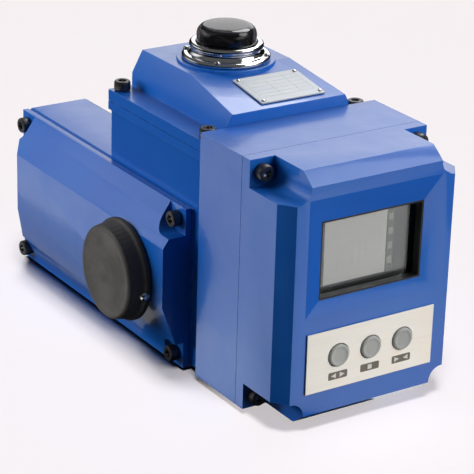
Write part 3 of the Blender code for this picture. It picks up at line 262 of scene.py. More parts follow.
def black_oxide():
    """Blackened steel screws, browner and barer on their corners."""
    look = Finish("black_oxide", (0.10, 0.098, 0.10), 0.4, Metallic=0.85)
    bare_and_glint = look.times(look.edges(0.3 * MM), look.spread(look.noise(1.5 * MM, 2.0), 0.4, 0.6))
    look.tint(bare_and_glint, (0.3, 0.29, 0.27))
    look.roughen(look.noise(1.1 * MM, 3.0), 0.28, 0.5)
    look.bump(look.noise(0.5 * MM, 2.0), 0.02 * MM)
    return look.material


def glass(name, colour, roughness):
    """Polycarbonate: clear or smoked, with hairline scuffs."""
    look = Finish(name, colour, roughness, Transmission_Weight=1.0, IOR=1.5)
    scuffs = look.noise(3 * MM, 5.0, 0.75, stretch=(1, 6, 1))
    look.roughen(scuffs, roughness, roughness + 0.07)
    look.tint(look.spread(look.noise(20 * MM, 2.0), 0.5, 0.8, 0.0, 0.15), tuple(c * 0.8 for c in colour))
    look.bump(look.noise(15 * MM, 1.0), 0.02 * MM)
    return look.material


def satin_plate(name, colour, warm):
    """Satin anodised sheet, brushed along Y, with a warm cast in places."""
    look = Finish(name, colour, 0.4, Metallic=0.25)
    brushed = look.noise(0.8 * MM, 4.0, 0.7, stretch=(1, 0.04, 1))
    look.tint(look.spread(look.noise(13 * MM, 2.0), 0.45, 0.7, 0.0, 0.5), warm)
    look.tint(look.spread(brushed, 0.45, 0.75, 0.0, 0.2), tuple(c * 0.75 for c in colour))
    look.roughen(brushed, 0.3, 0.5)
    look.bump(brushed, 0.008 * MM)
    return look.material


def liquid_crystal():
    """The grey reflective panel, with its unlit segments just showing."""
    look = Finish("lcd_panel", (0.33, 0.325, 0.30), 0.35)
    look.tint(look.spread(look.noise(30 * MM, 2.0), 0.35, 0.7, 0.0, 0.5), (0.40, 0.39, 0.37))
    look.roughen(look.noise(4 * MM, 2.0), 0.3, 0.42)
    look.bump(look.noise(0.35 * MM, 1.0), 0.006 * MM)
    return look.material


def solder_resist():
    """Green board lacquer over a pattern of copper."""
    look = Finish("solder_resist", (0.012, 0.10, 0.04), 0.35, Coat_Weight=0.3)
    tracks = look.node("TexBrick", "Fac", {"Vector": look.place, "Scale": 140.0, "Mortar Size": 0.06},
                       offset=0.37)
    look.tint(look.times(tracks, 0.5), (0.03, 0.22, 0.09))
    look.roughen(look.noise(5 * MM, 2.0), 0.28, 0.45)
    look.bump(tracks, 0.03 * MM)
    return look.material


BLUE = enamel("blue_enamel", (0.006, 0.088, 0.41), (0.008, 0.12, 0.45))
# A darker, duller copy of the enamel: painted shade for the lid's slopes left of and above the window
SHADE_BLUE = enamel("painted_shade_satin_enamel", (0.005, 0.082, 0.40), (0.007, 0.10, 0.42), gloss=0.15)
SEAL = rubber("seal_rubber", (0.012, 0.012, 0.013), 0.65)
PLUG = rubber("plug_rubber", (0.046, 0.044, 0.042), 0.6)
CHROME = chrome()
SMOKED = glass("smoked_glass", (0.10, 0.10, 0.11), 0.02)
CLEAR = glass("clear_glass", (0.9, 0.92, 0.92), 0.02)
PLATE = satin_plate("cream_plate", (0.88, 0.84, 0.77), (0.92, 0.80, 0.68))
LABEL = satin_plate("pale_plate", (0.42, 0.45, 0.49), (0.46, 0.46, 0.43))
PANEL = liquid_crystal()
BOARD = solder_resist()
KEY = plastic("grey_key", (0.33, 0.335, 0.32), 0.45)
DARK = plastic("black_plastic", (0.012, 0.012, 0.014), 0.4)
GLAND = plastic("gland_plastic", (0.02, 0.02, 0.022), 0.45)
NYLON = plastic("nylon", (0.70, 0.68, 0.60), 0.45)
INK = plastic("print_ink", (0.13, 0.115, 0.09), 0.5)
GREY_INK = plastic("grey_ink", (0.40, 0.42, 0.43), 0.5)
WHITE_INK = plastic("white_ink", (0.62, 0.60, 0.55), 0.5)
GHOST = plastic("unlit_segment", (0.315, 0.312, 0.288), 0.38)
STRIP = plastic("display_strip", (0.05, 0.055, 0.045), 0.45)
STRIP_INK = plastic("strip_ink", (0.16, 0.17, 0.14), 0.5)
STEEL = metal("machined_steel", (0.56, 0.56, 0.57), 0.3, grain=(0.15, 1, 1))
BRIGHT = metal("bright_steel", (0.75, 0.75, 0.74), 0.2)
BRONZE = metal("cast_bronze", (0.56, 0.36, 0.15), 0.35)
OXIDE = black_oxide()

# The finish of each CAD node that stays, by the record's slot
SLOT_FINISH = {
    "blue_casting": BLUE, "seal": SEAL, "chrome_ring": CHROME, "tinted_window": SMOKED, "clear_window": CLEAR,
    "dial": DARK, "silver_plate": PLATE, "black_rubber": PLUG, "lcd": PANEL, "circuit_board": BOARD,
    "grey_key": KEY, "black_plastic": DARK, "steel": STEEL, "bronze": BRONZE, "nylon": NYLON,
    "black_screw": OXIDE,
}


def finish_nodes():
    """Every CAD node gets its slot's finish."""
    for node in NODES.values():
        for slot in node.material_slots:
            slot.material = SLOT_FINISH[slot.material.name.split(".")[0]]


# ---------------------------------------------------------------- shapes

def axes_of(axis):
    """(u, v, w) unit vectors: w along the named axis, u and v across it, right-handed."""
    return {"X": (Y, Z, X), "Y": (Z, X, Y), "Z": (X, Y, Z)}[axis]


def at(axis, u, v, w):
    """The point across and along an axis: X takes (y, z), Y (z, x), Z (x, y)."""
    first, second, along = axes_of(axis)
    return first * u + second * v + along * w


def middle(node):
    """The centre of a node's box."""
    low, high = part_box(node)
    return (low + high) / 2


def across(axis, point):
    """A point's (u, v) across an axis."""
    return tuple(point.dot(unit) for unit in axes_of(axis)[:2])


def piece(name, bm, material, body, replaced=()):
    """A finished object from a bmesh in the row frame, riding on a body."""
    bmesh.ops.recalc_face_normals(bm, faces=bm.faces)
    mesh = bpy.data.meshes.new(name)
    bm.to_mesh(mesh)
    bm.free()
    mesh.materials.append(material)
    mesh.shade_smooth()
    mesh.set_sharp_from_angle(angle=SHARP)
    obj = bpy.data.objects.new(name, mesh)
    bpy.context.scene.collection.objects.link(obj)
    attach(obj, body)
    if replaced:
        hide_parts(*replaced)
    return obj


def round_edges(obj, width, by_weight=False, segments=3):
    """Rounds an object's edges: all of its corners, or each by its bevel weight."""
    bevel = obj.modifiers.new("Rounding", "BEVEL")
    bevel.width = width
    bevel.segments = segments
    bevel.limit_method = "WEIGHT" if by_weight else "ANGLE"
    bevel.angle_limit = CORNER
    bevel.harden_normals = True
    return obj


def skin(rings):
    """A bmesh through rings of points with equal counts, capped at both ends."""
    bm = bmesh.new()
    loops = [[bm.verts.new(p) for p in ring] for ring in rings]
    count = len(loops[0])
    for low, high in zip(loops, loops[1:]):
        for i in range(count):
            j = (i + 1) % count
            bm.faces.new((low[i], low[j], high[j], high[i]))
    bm.faces.new(reversed(loops[0]))
    bm.faces.new(loops[-1])
    return bm


def merged(*parts):
    """One bmesh that holds several, each with its own closed shells."""
    whole = bmesh.new()
    for part in parts:
        mesh = bpy.data.meshes.new("part")
        part.to_mesh(mesh)
        part.free()
        whole.from_mesh(mesh)
        bpy.data.meshes.remove(mesh)
    return whole


def circle(radius, count, centre=(0, 0), turn=0.0):
    """Points of a circle; turn is in steps."""
    steps = [2 * math.pi * (i + turn) / count for i in range(count)]
    return [(centre[0] + radius * math.cos(a), centre[1] + radius * math.sin(a)) for a in steps]


def prism(axis, outline, span):
    """A bmesh of an outline across an axis, extruded over the span."""
    return skin([[at(axis, u, v, w) for u, v in outline] for w in span])


def rectangle(low, high):
    return [(low[0], low[1]), (high[0], low[1]), (high[0], high[1]), (low[0], high[1])]


def filleted(points, radius, steps=4, closed=True):
    """A 2D outline or profile with its corners rounded, as far as its sides allow."""
    rounded = []
    count = len(points)
    for i, here in enumerate(points):
        if not closed and i in (0, count - 1):
            rounded.append(here)
            continue
        corner = Vector(here)
        back = Vector(points[i - 1]) - corner
        ahead = Vector(points[(i + 1) % count]) - corner
        reach = min(radius, back.length * 0.45, ahead.length * 0.45)
        if reach < 1e-6 or abs(back.angle(ahead) - math.pi) < 0.05:
            rounded.append(here)
            continue
        start, end = corner + back.normalized() * reach, corner + ahead.normalized() * reach
        for k in range(steps + 1):
            t = k / steps
            point = start * (1 - t) ** 2 + corner * 2 * t * (1 - t) + end * t ** 2
            rounded.append(tuple(point))
    return rounded


def lathe(axis, centre, profile, count=96, ring=False):
    """A turned bmesh: profile is (radius, along) from end to end. A ring's profile closes on itself."""
    if ring:
        loops = [[at(axis, u, v, w) for u, v in circle(r, count, centre)] for r, w in profile]
        return ring_skin(loops)
    bm = skin([[at(axis, u, v, w) for u, v in circle(r, count, centre)] for r, w in profile if r > 1e-7])
    for face in [f for f in bm.faces if len(f.verts) == count]:
        bmesh.ops.poke(bm, faces=[face])
    return bm


def ring_skin(loops):
    """A bmesh through rings of points, the last joined to the first."""
    bm = bmesh.new()
    rings = [[bm.verts.new(p) for p in loop] for loop in loops]
    count = len(loops[0])
    for low, high in zip(rings, rings[1:] + rings[:1]):
        for i in range(count):
            j = (i + 1) % count
            bm.faces.new((low[i], low[j], high[j], high[i]))
    return bm


# ---------------------------------------------------------------- castings

def refined(node, width, material, seams=(), segments=3):
    """A node's own shape with its facets merged and its edges rounded.

    seams are (axis, position, new position) of machined joint faces: each is moved to leave a hairline
    joint, and its edges stay crisp."""
    bm = bmesh.new()
    bm.from_mesh(NODES[node].data)
    bmesh.ops.remove_doubles(bm, verts=bm.verts, dist=WELD)
    bmesh.ops.dissolve_limit(bm, angle_limit=FLAT, verts=bm.verts, edges=bm.edges)
    weight = bm.edges.layers.float.new("bevel_weight_edge")
    for edge in bm.edges:
        if edge.is_manifold and edge.calc_face_angle() > FOLD:
            edge[weight] = 1.0
    for axis, position, moved in seams:
        index = "XYZ".index(axis)
        on_face = [v for v in bm.verts if abs(v.co[index] - position) < ON_FACE]
        for vert in on_face:
            vert.co[index] = moved
        faced = set(on_face)
        for edge in bm.edges:
            if edge[weight] and faced.issuperset(edge.verts):
                edge[weight] = MACHINED_EDGE / width
    made = piece(f"{node}_skin", bm, material, "housing", [node])
    return round_edges(made, width, by_weight=True, segments=segments)


def castings():
    """The five blue castings and the gaskets between them."""
    box_face, lid_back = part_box("control_housing")[1].x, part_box("control_lid")[0].x
    joint_x = (box_face + lid_back) / 2
    tower_top, cover_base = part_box("main_housing")[1].z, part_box("top_cover")[0].z
    joint_z = (tower_top + cover_base) / 2
    side_face, side_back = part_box("side_cover_gasket")[1].y + FIT_GAP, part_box("side_cover")[1].y
    joint_y = (side_face + side_back) / 2
    refined("main_housing", CAST_EDGE, BLUE,
            [("Z", tower_top, joint_z - SEAM), ("Y", side_face, joint_y + SEAM)])
    refined("top_cover", CAST_EDGE, BLUE, [("Z", cover_base, joint_z + SEAM)])
    refined("side_cover", CAST_EDGE, BLUE, [("Y", side_back, joint_y - SEAM)])
    refined("control_housing", CAST_EDGE, BLUE, [("X", box_face, joint_x - SEAM)])
    lid = refined("control_lid", CAST_EDGE, BLUE, [("X", lid_back, joint_x + SEAM)])
    # The slopes left of and above the window take the darker, duller enamel copy as painted shade
    lid.data.materials.append(SHADE_BLUE)
    for face in lid.data.polygons:
        x, y, z = face.normal
        if WINDOW_FLARE[0] < x < WINDOW_FLARE[1] and (y > 0.1 or z < -0.1):     # its -Y and upper slopes, which get painted shade
            face.material_index = 1
    for node, axis, joint in (("control_lid_gasket", "X", joint_x), ("top_cover_gasket", "Z", joint_z),
                              ("side_cover_gasket", "Y", joint_y)):
        low, high = (getattr(corner, axis.lower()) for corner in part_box(node))
        thin = SEAM - GASKET_EDGE
        refined(node, GASKET_EDGE, SEAL, [(axis, low, joint - thin), (axis, high, joint + thin)],
                segments=1)


# ---------------------------------------------------------------- screws

def hexagon_radius(angle, flats):
    """How far a hexagon reaches at an angle, by its width across flats."""
    sector = (angle + math.pi / 6) % (math.pi / 3) - math.pi / 6
    return flats / 2 / math.cos(sector)


def screw_mesh(name, head_r, head_h, shank_r, length):
    """A knurled socket head screw along +Z, its seat at 0: black outside, bright steel in its socket, partly
    worn steel and partly a painted glint.
    """
    count = KNURLS * 2
    angles = [2 * math.pi * i / count for i in range(count)]

    def ring(radius, z, knurl=0.0):
        reaches = [radius - knurl * (i % 2) for i in range(count)]
        return [Vector((math.cos(a) * r, math.sin(a) * r, z)) for a, r in zip(angles, reaches)]

    def hexagon(flats, z):
        ways = [Vector((math.cos(a), math.sin(a), 0)) for a in angles]
        return [way * hexagon_radius(a, flats) + Z * z for a, way in zip(angles, ways)]

    depth = 0.13 * MM
    outside = [ring(shank_r - 0.5 * MM, -length), ring(shank_r, -length + 0.6 * MM), ring(shank_r, 0),
               ring(head_r - 0.3 * MM, 0), ring(head_r - depth, 0.3 * MM), ring(head_r, 0.45 * MM, depth),
               ring(head_r, head_h - 0.9 * MM, depth), ring(head_r - depth, head_h - 0.7 * MM),
               ring(head_r - 0.25 * MM, head_h - 0.25 * MM), ring(head_r - 0.6 * MM, head_h)]
    socket = [hexagon(HEX_FLATS + 0.25 * MM, head_h), hexagon(HEX_FLATS, head_h - 0.2 * MM),
              hexagon(HEX_FLATS, head_h - SOCKET_DEPTH), ring(0.3 * MM, head_h - SOCKET_DEPTH - 0.9 * MM)]
    bm = skin(outside + socket)
    mesh = bpy.data.meshes.new(name)
    bmesh.ops.recalc_face_normals(bm, faces=bm.faces)
    bm.to_mesh(mesh)
    bm.free()
    mesh.materials.append(OXIDE)
    mesh.materials.append(BRIGHT)
    for face in mesh.polygons:
        x, y, z = face.center
        # The socket faces take bright steel: partly wear, partly a painted glint where the hex catches light
        bare_and_glint = Vector((x, y)).length < HEX_FLATS / 2 + 0.02 * MM and head_h - 4 * MM < z < head_h - 0.1 * MM
        face.material_index = 1 if bare_and_glint else 0
    mesh.shade_smooth()
    mesh.set_sharp_from_angle(angle=SCREW_SHARP)
    return mesh


def socket_screws():
    """The twelve M5 screws: the covers' and the lid's, each turned a little differently."""
    groups = (("top_cover_screw", "Z", 1), ("side_cover_screw", "Y", -1), ("lid_screw", "X", 1))
    low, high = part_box("top_cover_screw_1")
    head_r = (high.x - low.x) / 2
    mesh = screw_mesh("socket_screw", head_r, HEAD_HEIGHT, SHANK_R, high.z - low.z - HEAD_HEIGHT)
    for prefix, axis, out in groups:
        for index in range(1, 5):
            node = f"{prefix}_{index}"
            low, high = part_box(node)
            along = axes_of(axis)[2]
            top = high.dot(along) if out > 0 else low.dot(along)
            u, v = across(axis, middle(node))
            obj = bpy.data.objects.new(f"{node}_body", mesh)
            bpy.context.scene.collection.objects.link(obj)
            turn = Matrix.Rotation(SCREW_TURN * index, 4, "Z")
            point = at(axis, u, v, top - out * HEAD_HEIGHT)
            facing = (along * out).to_track_quat("Z", "Y").to_matrix().to_4x4()
            obj.matrix_world = Matrix.Translation(point) @ facing @ turn
            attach(obj, "housing")
            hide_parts(node)


def pan_head(name, point, direction, radius, height, material, body="housing", sink=0.6 * MM):
    """A small domed screw head or rivet on a surface."""
    profile = [(0, -sink), (radius, -sink), (radius, height * 0.35), (radius * 0.62, height), (0, height)]
    profile = filleted(profile, radius * 0.3, closed=False)
    bm = lathe("Z", (0, 0), profile, 32)
    bm.transform(Matrix.Translation(point) @ direction.to_track_quat("Z", "Y").to_matrix().to_4x4())
    return piece(name, bm, material, body)


# ---------------------------------------------------------------- indicator

def indicator():
    """Chrome bezel with its screws, smoked dome, and the dial with its pointer and scale."""
    low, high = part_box("indicator_bezel")
    base, top = low.z, high.z
    flange_r = (high.x - low.x) / 2
    ring_r = 19.2 * MM
    lens_low, lens_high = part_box("indicator_lens")
    opening = 15.8 * MM
    room = ring_r - 1.5 * MM
    profile = [(room, base), (flange_r, base), (flange_r, base + 1.5 * MM),
               (flange_r - 1.2 * MM, base + 2.3 * MM), (ring_r + 0.6 * MM, base + 2.6 * MM),
               (ring_r - 0.7 * MM, base + 4.2 * MM), (ring_r - 0.7 * MM, top - 3 * MM),
               (ring_r, top - 2.4 * MM), (ring_r, top - 0.9 * MM), (ring_r - 1.1 * MM, top),
               (opening + 0.6 * MM, top), (opening, top - 0.5 * MM), (opening, top - 1.6 * MM),
               (room, top - 1.6 * MM)]
    bezel = lathe("Z", (0, 0), filleted(profile, 0.5 * MM, 3), 128, ring=True)
    piece("bezel_ring", bezel, CHROME, "housing", ["indicator_bezel"])
    for i, (x, y) in enumerate(circle(flange_r - 1.9 * MM, 4, turn=0.5)):
        seat = Vector((x, y, base + 2.2 * MM))
        pan_head(f"bezel_screw_{i + 1}", seat, Z, 1.6 * MM, 1.3 * MM, BRIGHT)

    lens_r = (lens_high.x - lens_low.x) / 2
    flange_top = top - 1.9 * MM
    dome_r, wall = 15.5 * MM, 1.5 * MM
    bend = 5 * MM
    centre_r, centre_z = dome_r - bend, lens_high.z - bend
    arc = [math.pi / 2 * i / 10 for i in range(11)]
    outside = [(centre_r + bend * math.cos(a), centre_z + bend * math.sin(a)) for a in arc]
    inner = bend - wall
    inside = [(centre_r + inner * math.cos(a), centre_z + inner * math.sin(a)) for a in arc]
    profile = [(dome_r - wall, lens_low.z), (lens_r, lens_low.z), (lens_r, flange_top), (dome_r, flange_top)]
    shell = profile + outside + [(0.2 * MM, lens_high.z), (0.2 * MM, lens_high.z - wall)] + inside[::-1]
    dome = lathe("Z", (0, 0), shell, 96, ring=True)
    piece("indicator_dome", dome, SMOKED, "housing", ["indicator_lens"])

    dial_low, dial_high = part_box("indicator_dial")
    face = dial_high.z - 1.4 * MM
    disc_r = (dial_high.x - dial_low.x) / 2
    profile = [(0, dial_low.z), (4.6 * MM, dial_low.z), (4.6 * MM, face - 2 * MM), (disc_r, face - 2 * MM),
               (disc_r, face - 0.3 * MM), (disc_r - 0.5 * MM, face), (0, face)]
    piece("dial_disc", lathe("Z", (0, 0), profile, 72), DARK, "output", ["indicator_dial"])
    pointer = [(-9.5 * MM, -1.5 * MM), (4 * MM, -1.5 * MM), (10 * MM, 0), (4 * MM, 1.5 * MM),
               (-9.5 * MM, 1.5 * MM)]
    arrow = piece("dial_pointer", prism("Z", pointer, (face, face + 1.2 * MM)), WHITE_INK, "output")
    round_edges(arrow, 0.3 * MM)
    ticks = []
    for i in range(19):
        angle = math.radians(10 * i - 45)
        long = i % 9 == 0
        bar = rectangle((10.3 * MM if long else 10.9 * MM, -0.15 * MM), (11.6 * MM, 0.15 * MM))
        mark = prism("Z", bar, (face, face + 0.05 * MM))
        mark.transform(Matrix.Rotation(angle, 4, "Z"))
        ticks.append(mark)
    piece("dial_ticks", merged(*ticks), WHITE_INK, "output")


# ---------------------------------------------------------------- side cover plug

def plug():
    """The moulded rubber plug over the hand drive, with grip ribs, a shallow dish and its retaining screw."""
    low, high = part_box("override_plug")
    u, v = across("Y", middle("override_plug"))
    wide = (high.x - low.x) / 2
    front, back = low.y, high.y
    collar = back - 3.4 * MM
    stem_r = 19.7 * MM
    profile = [(0, front + 0.5 * MM), (14 * MM, front + 0.4 * MM), (wide - 6.2 * MM, front + 0.15 * MM),
               (wide - 5.4 * MM, front), (wide - 3.6 * MM, front), (wide - 2.4 * MM, front + 1.2 * MM),
               (wide - 1.2 * MM, collar - 4 * MM), (wide, collar - 2.6 * MM), (wide, collar),
               (stem_r, collar), (stem_r, back - 0.5 * MM), (stem_r - 0.5 * MM, back), (0, back)]
    rounded = filleted(profile, 0.9 * MM, 4, closed=False)
    bm = lathe("Y", (u, v), rounded, 144)
    centre = at("Y", u, v, 0)
    for vert in bm.verts:
        arm = vert.co - centre
        arm.y = 0
        depth = vert.co.y - front
        if arm.length > wide - 3.2 * MM and 1.5 * MM < depth < collar - front - 3.2 * MM:
            angle = math.atan2(arm.z, arm.x)
            vert.co -= arm.normalized() * 0.35 * MM * (0.5 + 0.5 * math.cos(48 * angle))
    piece("hand_drive_plug", bm, PLUG, "plug", ["override_plug"])
    angle = math.radians(-12)
    out = Vector((math.cos(angle), 0, math.sin(angle)))
    point = centre + out * (wide - 0.8 * MM) + Y * (collar - 3.2 * MM)
    pan_head("plug_screw", point, out, 2.7 * MM, 1.4 * MM, BRIGHT, "plug", sink=2.5 * MM)


# ---------------------------------------------------------------- display and keypad

def display():
    """The window opening's black liner, partly a dark frame and partly painted shade in its reveal; the pane;
    the display with its frame, panel and side strip.
    """
    lid_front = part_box("keypad_plate")[0].x - FIT_GAP
    pane_low, pane_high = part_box("display_window")
    deep, lip = pane_high.x + 0.05 * MM, lid_front - 2.6 * MM
    thin, thick = 0.05 * MM, 0.9 * MM
    # The black liner stands partly for a dark frame and partly for painted shade in the window's reveal
    rings = []
    for x, inset in ((deep, thin), (lip, thin), (lip, thick), (deep, thick)):
        low = (inset - WINDOW_HALF_Y, WINDOW_SILL + inset)
        high = (WINDOW_HALF_Y - inset, WINDOW_HEAD - inset)
        rings.append([Vector((x, y, z)) for y, z in filleted(rectangle(low, high), 1.2 * MM, 3)])
    piece("window_shade_liner", ring_skin(rings), DARK, "housing")

    pane = prism("X", rectangle((pane_low.y, pane_low.z), (pane_high.y, pane_high.z)),
                 (pane_low.x, pane_high.x))
    piece("window_pane", pane, CLEAR, "housing", ["display_window"])

    low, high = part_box("lcd_module")
    panel = ((-23.5 * MM, 71.5 * MM), (13 * MM, high.z - 2.5 * MM))
    body = prism("X", rectangle((low.y, low.z), (high.y, high.z)), (low.x, high.x - 0.6 * MM))
    round_edges(piece("display_body", body, DARK, "housing", ["lcd_module"]), 0.4 * MM)
    glass_front = high.x - 0.15 * MM
    shown = prism("X", rectangle(*panel), (high.x - 0.55 * MM, glass_front))
    piece("display_panel", shown, PANEL, "housing")
    strip = ((panel[1][0] + 0.3 * MM, panel[0][1]), (panel[1][0] + 4.5 * MM, panel[1][1]))
    beside = prism("X", rectangle(*strip), (high.x - 0.55 * MM, glass_front))
    piece("display_strip", beside, STRIP, "housing")
    ghosts = []
    for i in range(4):
        left = panel[0][0] + (3.5 + 8.2 * i) * MM
        ghosts += digit_segments(left, 78 * MM, 5.4 * MM, 19 * MM, glass_front)
    piece("display_segments", merged(*ghosts), GHOST, "housing")
    marks = []
    for i in range(4):
        z = panel[0][1] + (4 + 7.5 * i) * MM
        mark = rectangle((strip[0][0] + 0.8 * MM, z), (strip[1][0] - 0.8 * MM, z + 3.6 * MM))
        marks.append(prism("X", mark, (glass_front, glass_front + 0.03 * MM)))
    piece("display_marks", merged(*marks), STRIP_INK, "housing")


def digit_segments(left, bottom, wide, tall, x):
    """The seven bars of one unlit digit, on the panel's face."""
    bar, gap = 1.1 * MM, 0.35 * MM
    half = tall / 2
    rows = (bottom, bottom + half - bar / 2, bottom + tall - bar)
    flat = [(left + bar, z, left + wide - bar, z + bar) for z in rows]
    upright = [(side, z + gap + bar / 2, side + bar, z + half - gap - bar / 2)
               for side in (left, left + wide - bar) for z in (bottom, bottom + half)]
    return [prism("X", rectangle((y0, z0), (y1, z1)), (x, x + 0.03 * MM))
            for y0, z0, y1, z1 in flat + upright]


def keypad():
    """The plate with its printed symbols, and three dished keys."""
    low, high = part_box("keypad_plate")
    refined("keypad_plate", 0.25 * MM, PLATE)
    face = high.x
    symbols = {"key_open": ((-1, 1), (1, 1)), "key_stop": (), "key_close": ((-1, -1), (1, -1))}
    for name, arrows in symbols.items():
        y, z = across("X", middle(name))
        key_low, key_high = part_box(name)
        radius = (key_high.y - key_low.y) / 2
        top = key_high.x
        profile = [(0, key_low.x), (3.5 * MM, key_low.x), (3.5 * MM, top - 2.3 * MM),
                   (radius, top - 2.3 * MM), (radius, top - 0.6 * MM), (radius - 0.6 * MM, top),
                   (radius - 1.3 * MM, top), (radius - 2.2 * MM, top - 0.35 * MM), (0, top - 0.5 * MM)]
        cap = lathe("X", (y, z), filleted(profile, 0.3 * MM, 3, closed=False), 64)
        piece(f"{name}_cap", cap, KEY, name, [name])
        panel_z = z - 10.6 * MM
        plate = rectangle((y - 5.6 * MM, panel_z - 2 * MM), (y + 5.6 * MM, panel_z + 2 * MM))
        plate = prism("X", filleted(plate, 0.8 * MM, 3), (face, face + 0.05 * MM))
        piece(f"{name}_label", plate, INK, "housing")
        shapes = []
        for side, way in arrows:
            tip, base = side * (2.6 + way * 1.5) * MM, side * (2.6 - way * 1.5) * MM
            half = 1.3 * MM
            shapes.append([(y + tip, panel_z), (y + base, panel_z + half), (y + base, panel_z - half)])
        if not arrows:
            half = 1.2 * MM
            shapes.append(rectangle((y - half, panel_z - half), (y + half, panel_z + half)))
        marks = [prism("X", shape, (face + 0.05 * MM, face + 0.08 * MM)) for shape in shapes]
        piece(f"{name}_symbol", merged(*marks), WHITE_INK, "housing")


# ---------------------------------------------------------------- nameplate

def nameplate():
    """A plate on four rivets with blank ruled fields; it carries no writing."""
    refined("nameplate", 0.2 * MM, LABEL)
    low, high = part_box("nameplate")
    thickness = 0.8 * MM
    near, far = Vector((low.x, low.y, high.z)), Vector((high.x, low.y, low.z + thickness))
    along = (far - near).normalized()
    normal = along.cross(Y).normalized()
    if normal.z < 0:
        normal = -normal
    length, width = (far - near).length, high.y - low.y

    def bar(s0, s1, t0, t1):
        corners = [near + along * s + Y * t for s, t in rectangle((s0, t0), (s1, t1))]
        return skin([[c + normal * h for c in corners] for h in (0.0, PRINT)])

    line = 0.25 * MM
    starts = [4 * MM + 3.6 * MM * i for i in range(6)]
    rules = [bar(s, s + line, 3 * MM, width - 3 * MM) for s in starts]
    rules += [bar(4 * MM, 22.25 * MM, t, t + line) for t in (3 * MM, 15 * MM, 27 * MM, width - 3.25 * MM)]
    piece("nameplate_rules", merged(*rules), GREY_INK, "housing")
    inset = 2 * MM
    for i, (s, t) in enumerate((s, t) for t in (inset, width - inset) for s in (inset, length - inset)):
        point = near + along * s + Y * t
        pan_head(f"nameplate_rivet_{i + 1}", point, normal, 1.1 * MM, 0.7 * MM, BRIGHT)


# ---------------------------------------------------------------- small outside fittings

def fittings():
    """Gland, blanking plug and earth screw, with their edges rounded."""
    refined("gland_body", 0.5 * MM, GLAND)
    refined("gland_nut", 0.6 * MM, GLAND)
    refined("blanking_plug", 0.5 * MM, GLAND)
    refined("earth_screw", 0.35 * MM, BRIGHT)


# ---------------------------------------------------------------- studio

def floor():
    """A plain pale floor, flat round the object and curving up far away. It lights nothing itself."""
    bm = bmesh.new()
    bmesh.ops.create_grid(bm, x_segments=FLOOR_STEPS, y_segments=FLOOR_STEPS, size=FLOOR_REACH)
    for vert in bm.verts:
        vert.co.z = max(0.0, vert.co.length - FLOOR_FLAT) ** 2 / (2 * FLOOR_BEND)
    mesh = bpy.data.meshes.new("floor")
    bm.to_mesh(mesh)
    bm.free()
    mesh.shade_smooth()
    look = Finish("pale_floor", (0.90, 0.85, 0.865), 0.6, Specular_IOR_Level=0.1)
    look.roughen(look.noise(2000 * MM), 0.58, 0.62)
    mesh.materials.append(look.material)
    obj = bpy.data.objects.new("floor", mesh)
    bpy.context.scene.collection.objects.link(obj)
    obj.visible_diffuse = False
    obj.visible_glossy = False
    return obj


def aimed(name, shape, direction, distance, size, energy):
    """An area lamp that looks at the object from a direction, hidden from the camera."""
    data = bpy.data.lights.new(name, "AREA")
    data.shape = shape
    data.size = size
    data.energy = energy
    obj = bpy.data.objects.new(name, data)
    bpy.context.scene.collection.objects.link(obj)
    away = Vector(direction).normalized()
    obj.location = MIDDLE + away * distance
    obj.rotation_euler = (-away).to_track_quat("-Z", "Y").to_euler()
    obj.visible_camera = False
    return obj


def softbox(name, direction, distance, size, light, mirrored):
    """A round softbox that lights the object alone; light is what a white face turned to it would show.

    Only a mirrored one is seen in glossy surfaces."""
    lamp = aimed(name, "DISK", direction, distance, size, light * (math.pi * distance) ** 2)
    lamp.visible_glossy = mirrored
    return lamp


def reflector(name, centre, size, glow, turn=0.0):
    """A white card lying on the floor, turned about Z, that shows in glossy surfaces only."""
    card = aimed(name, "RECTANGLE", (0, 0, -1), 1, size[0], glow * math.pi * size[0] * size[1])
    card.data.size_y = size[1]
    card.location = (*centre, CARD_HEIGHT)
    card.rotation_euler = (math.pi, 0, turn)
    card.visible_diffuse = False
    return card


def surroundings():
    """A room that is pale high up on two opposite sides and dark elsewhere, for glossy surfaces to show."""
    world = bpy.data.worlds.new("studio")
    bpy.context.scene.world = world
    world.use_nodes = True
    world.cycles_visibility.diffuse = False
    nodes, links = world.node_tree.nodes, world.node_tree.links
    place = nodes.new("ShaderNodeTexCoord")
    sideways = nodes.new("ShaderNodeVectorMath")
    sideways.operation = "DOT_PRODUCT"
    sideways.inputs[1].default_value = MIRRORED
    either = nodes.new("ShaderNodeMath")
    either.operation = "ABSOLUTE"
    height = nodes.new("ShaderNodeSeparateXYZ")
    bands = []
    for low, high, top in (PALE_SIDES, PALE_ABOVE):
        band = nodes.new("ShaderNodeMapRange")
        for socket, value in (("From Min", low), ("From Max", high), ("To Min", ROOM_DARK), ("To Max", top)):
            band.inputs[socket].default_value = value
        bands.append(band)
    both = nodes.new("ShaderNodeMath")
    both.operation = "MULTIPLY"
    links.new(place.outputs["Generated"], sideways.inputs[0])
    links.new(sideways.outputs["Value"], either.inputs[0])
    links.new(either.outputs[0], bands[0].inputs["Value"])
    links.new(place.outputs["Generated"], height.inputs[0])
    links.new(height.outputs["Z"], bands[1].inputs["Value"])
    links.new(bands[0].outputs["Result"], both.inputs[0])
    links.new(bands[1].outputs["Result"], both.inputs[1])
    links.new(both.outputs[0], nodes["Background"].inputs["Strength"])
    nodes["Background"].inputs["Color"].default_value = (1, 1, 1, 1)


def linked(lamp, name, objects, how):
    """Makes a lamp light only these objects, or all but these."""
    group = bpy.data.collections.new(name)
    for i, obj in enumerate(objects):
        group.objects.link(obj)
        group.collection_objects[i].light_linking.link_state = how
    lamp.light_linking.receiver_collection = group


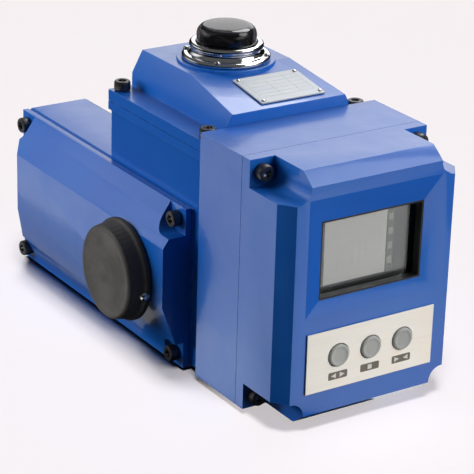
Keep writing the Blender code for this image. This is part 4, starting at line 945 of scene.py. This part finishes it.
def floor_lamp(name, direction, energy, ground, casters):
    """A distant soft lamp for the floor alone, whose shadows come from these objects alone."""
    lamp = bpy.data.objects.new(name, bpy.data.lights.new(name, "SUN"))
    lamp.data.energy = energy
    lamp.data.angle = LAMP_SPREAD
    lamp.rotation_euler = (-Vector(direction)).to_track_quat("-Z", "Y").to_euler()
    bpy.context.scene.collection.objects.link(lamp)
    linked(lamp, f"{name}_on", [ground], "INCLUDE")
    blockers = bpy.data.collections.new(f"{name}_shadows")
    for caster in casters:
        blockers.objects.link(caster)
    lamp.light_linking.blocker_collection = blockers


def skins(*nodes):
    """The finished castings of these nodes."""
    return [bpy.data.objects[f"{node}_skin"] for node in nodes]


def studio():
    """Softboxes round the object, lamps for the floor alone, and cards and a room to reflect."""
    ground = floor()
    for name, *placing in SOFTBOXES:
        linked(softbox(name, *placing), f"{name}_off", [ground], "EXCLUDE")
    for name, direction, energy, casters in FLOOR_LAMPS:
        floor_lamp(name, direction, energy, ground, skins(*casters))
    linked(reflector(*LEFT_CARD), "no_tower", skins("main_housing", "top_cover"), "EXCLUDE")
    linked(reflector(*BOX_CARD), "box_only", skins("control_housing", "control_lid"), "INCLUDE")
    reflector(*NEAR_CARD)
    reflector(*RIGHT_CARD, math.atan2(MIRRORED.y, MIRRORED.x))
    surroundings()
    bpy.context.scene.view_settings.view_transform = "Standard"


def camera():
    """The measured view."""
    back = Vector((math.sin(AZIMUTH) * math.cos(ELEVATION), -math.cos(AZIMUTH) * math.cos(ELEVATION),
                   math.sin(ELEVATION)))
    level = X * math.cos(AZIMUTH) + Y * math.sin(AZIMUTH)
    upright = back.cross(level)
    right = level * math.cos(ROLL) + upright * math.sin(ROLL)
    up = upright * math.cos(ROLL) - level * math.sin(ROLL)
    data = bpy.data.cameras.new("camera")
    data.sensor_width = 36
    data.lens = LENS
    obj = bpy.data.objects.new("camera", data)
    bpy.context.scene.collection.objects.link(obj)
    facing = Matrix((right, up, back)).transposed().to_4x4()
    obj.matrix_world = Matrix.Translation(TARGET + back * DISTANCE) @ facing
    bpy.context.scene.camera = obj


finish_nodes()
castings()
socket_screws()
indicator()
plug()
display()
keypad()
nameplate()
fittings()
studio()
camera()
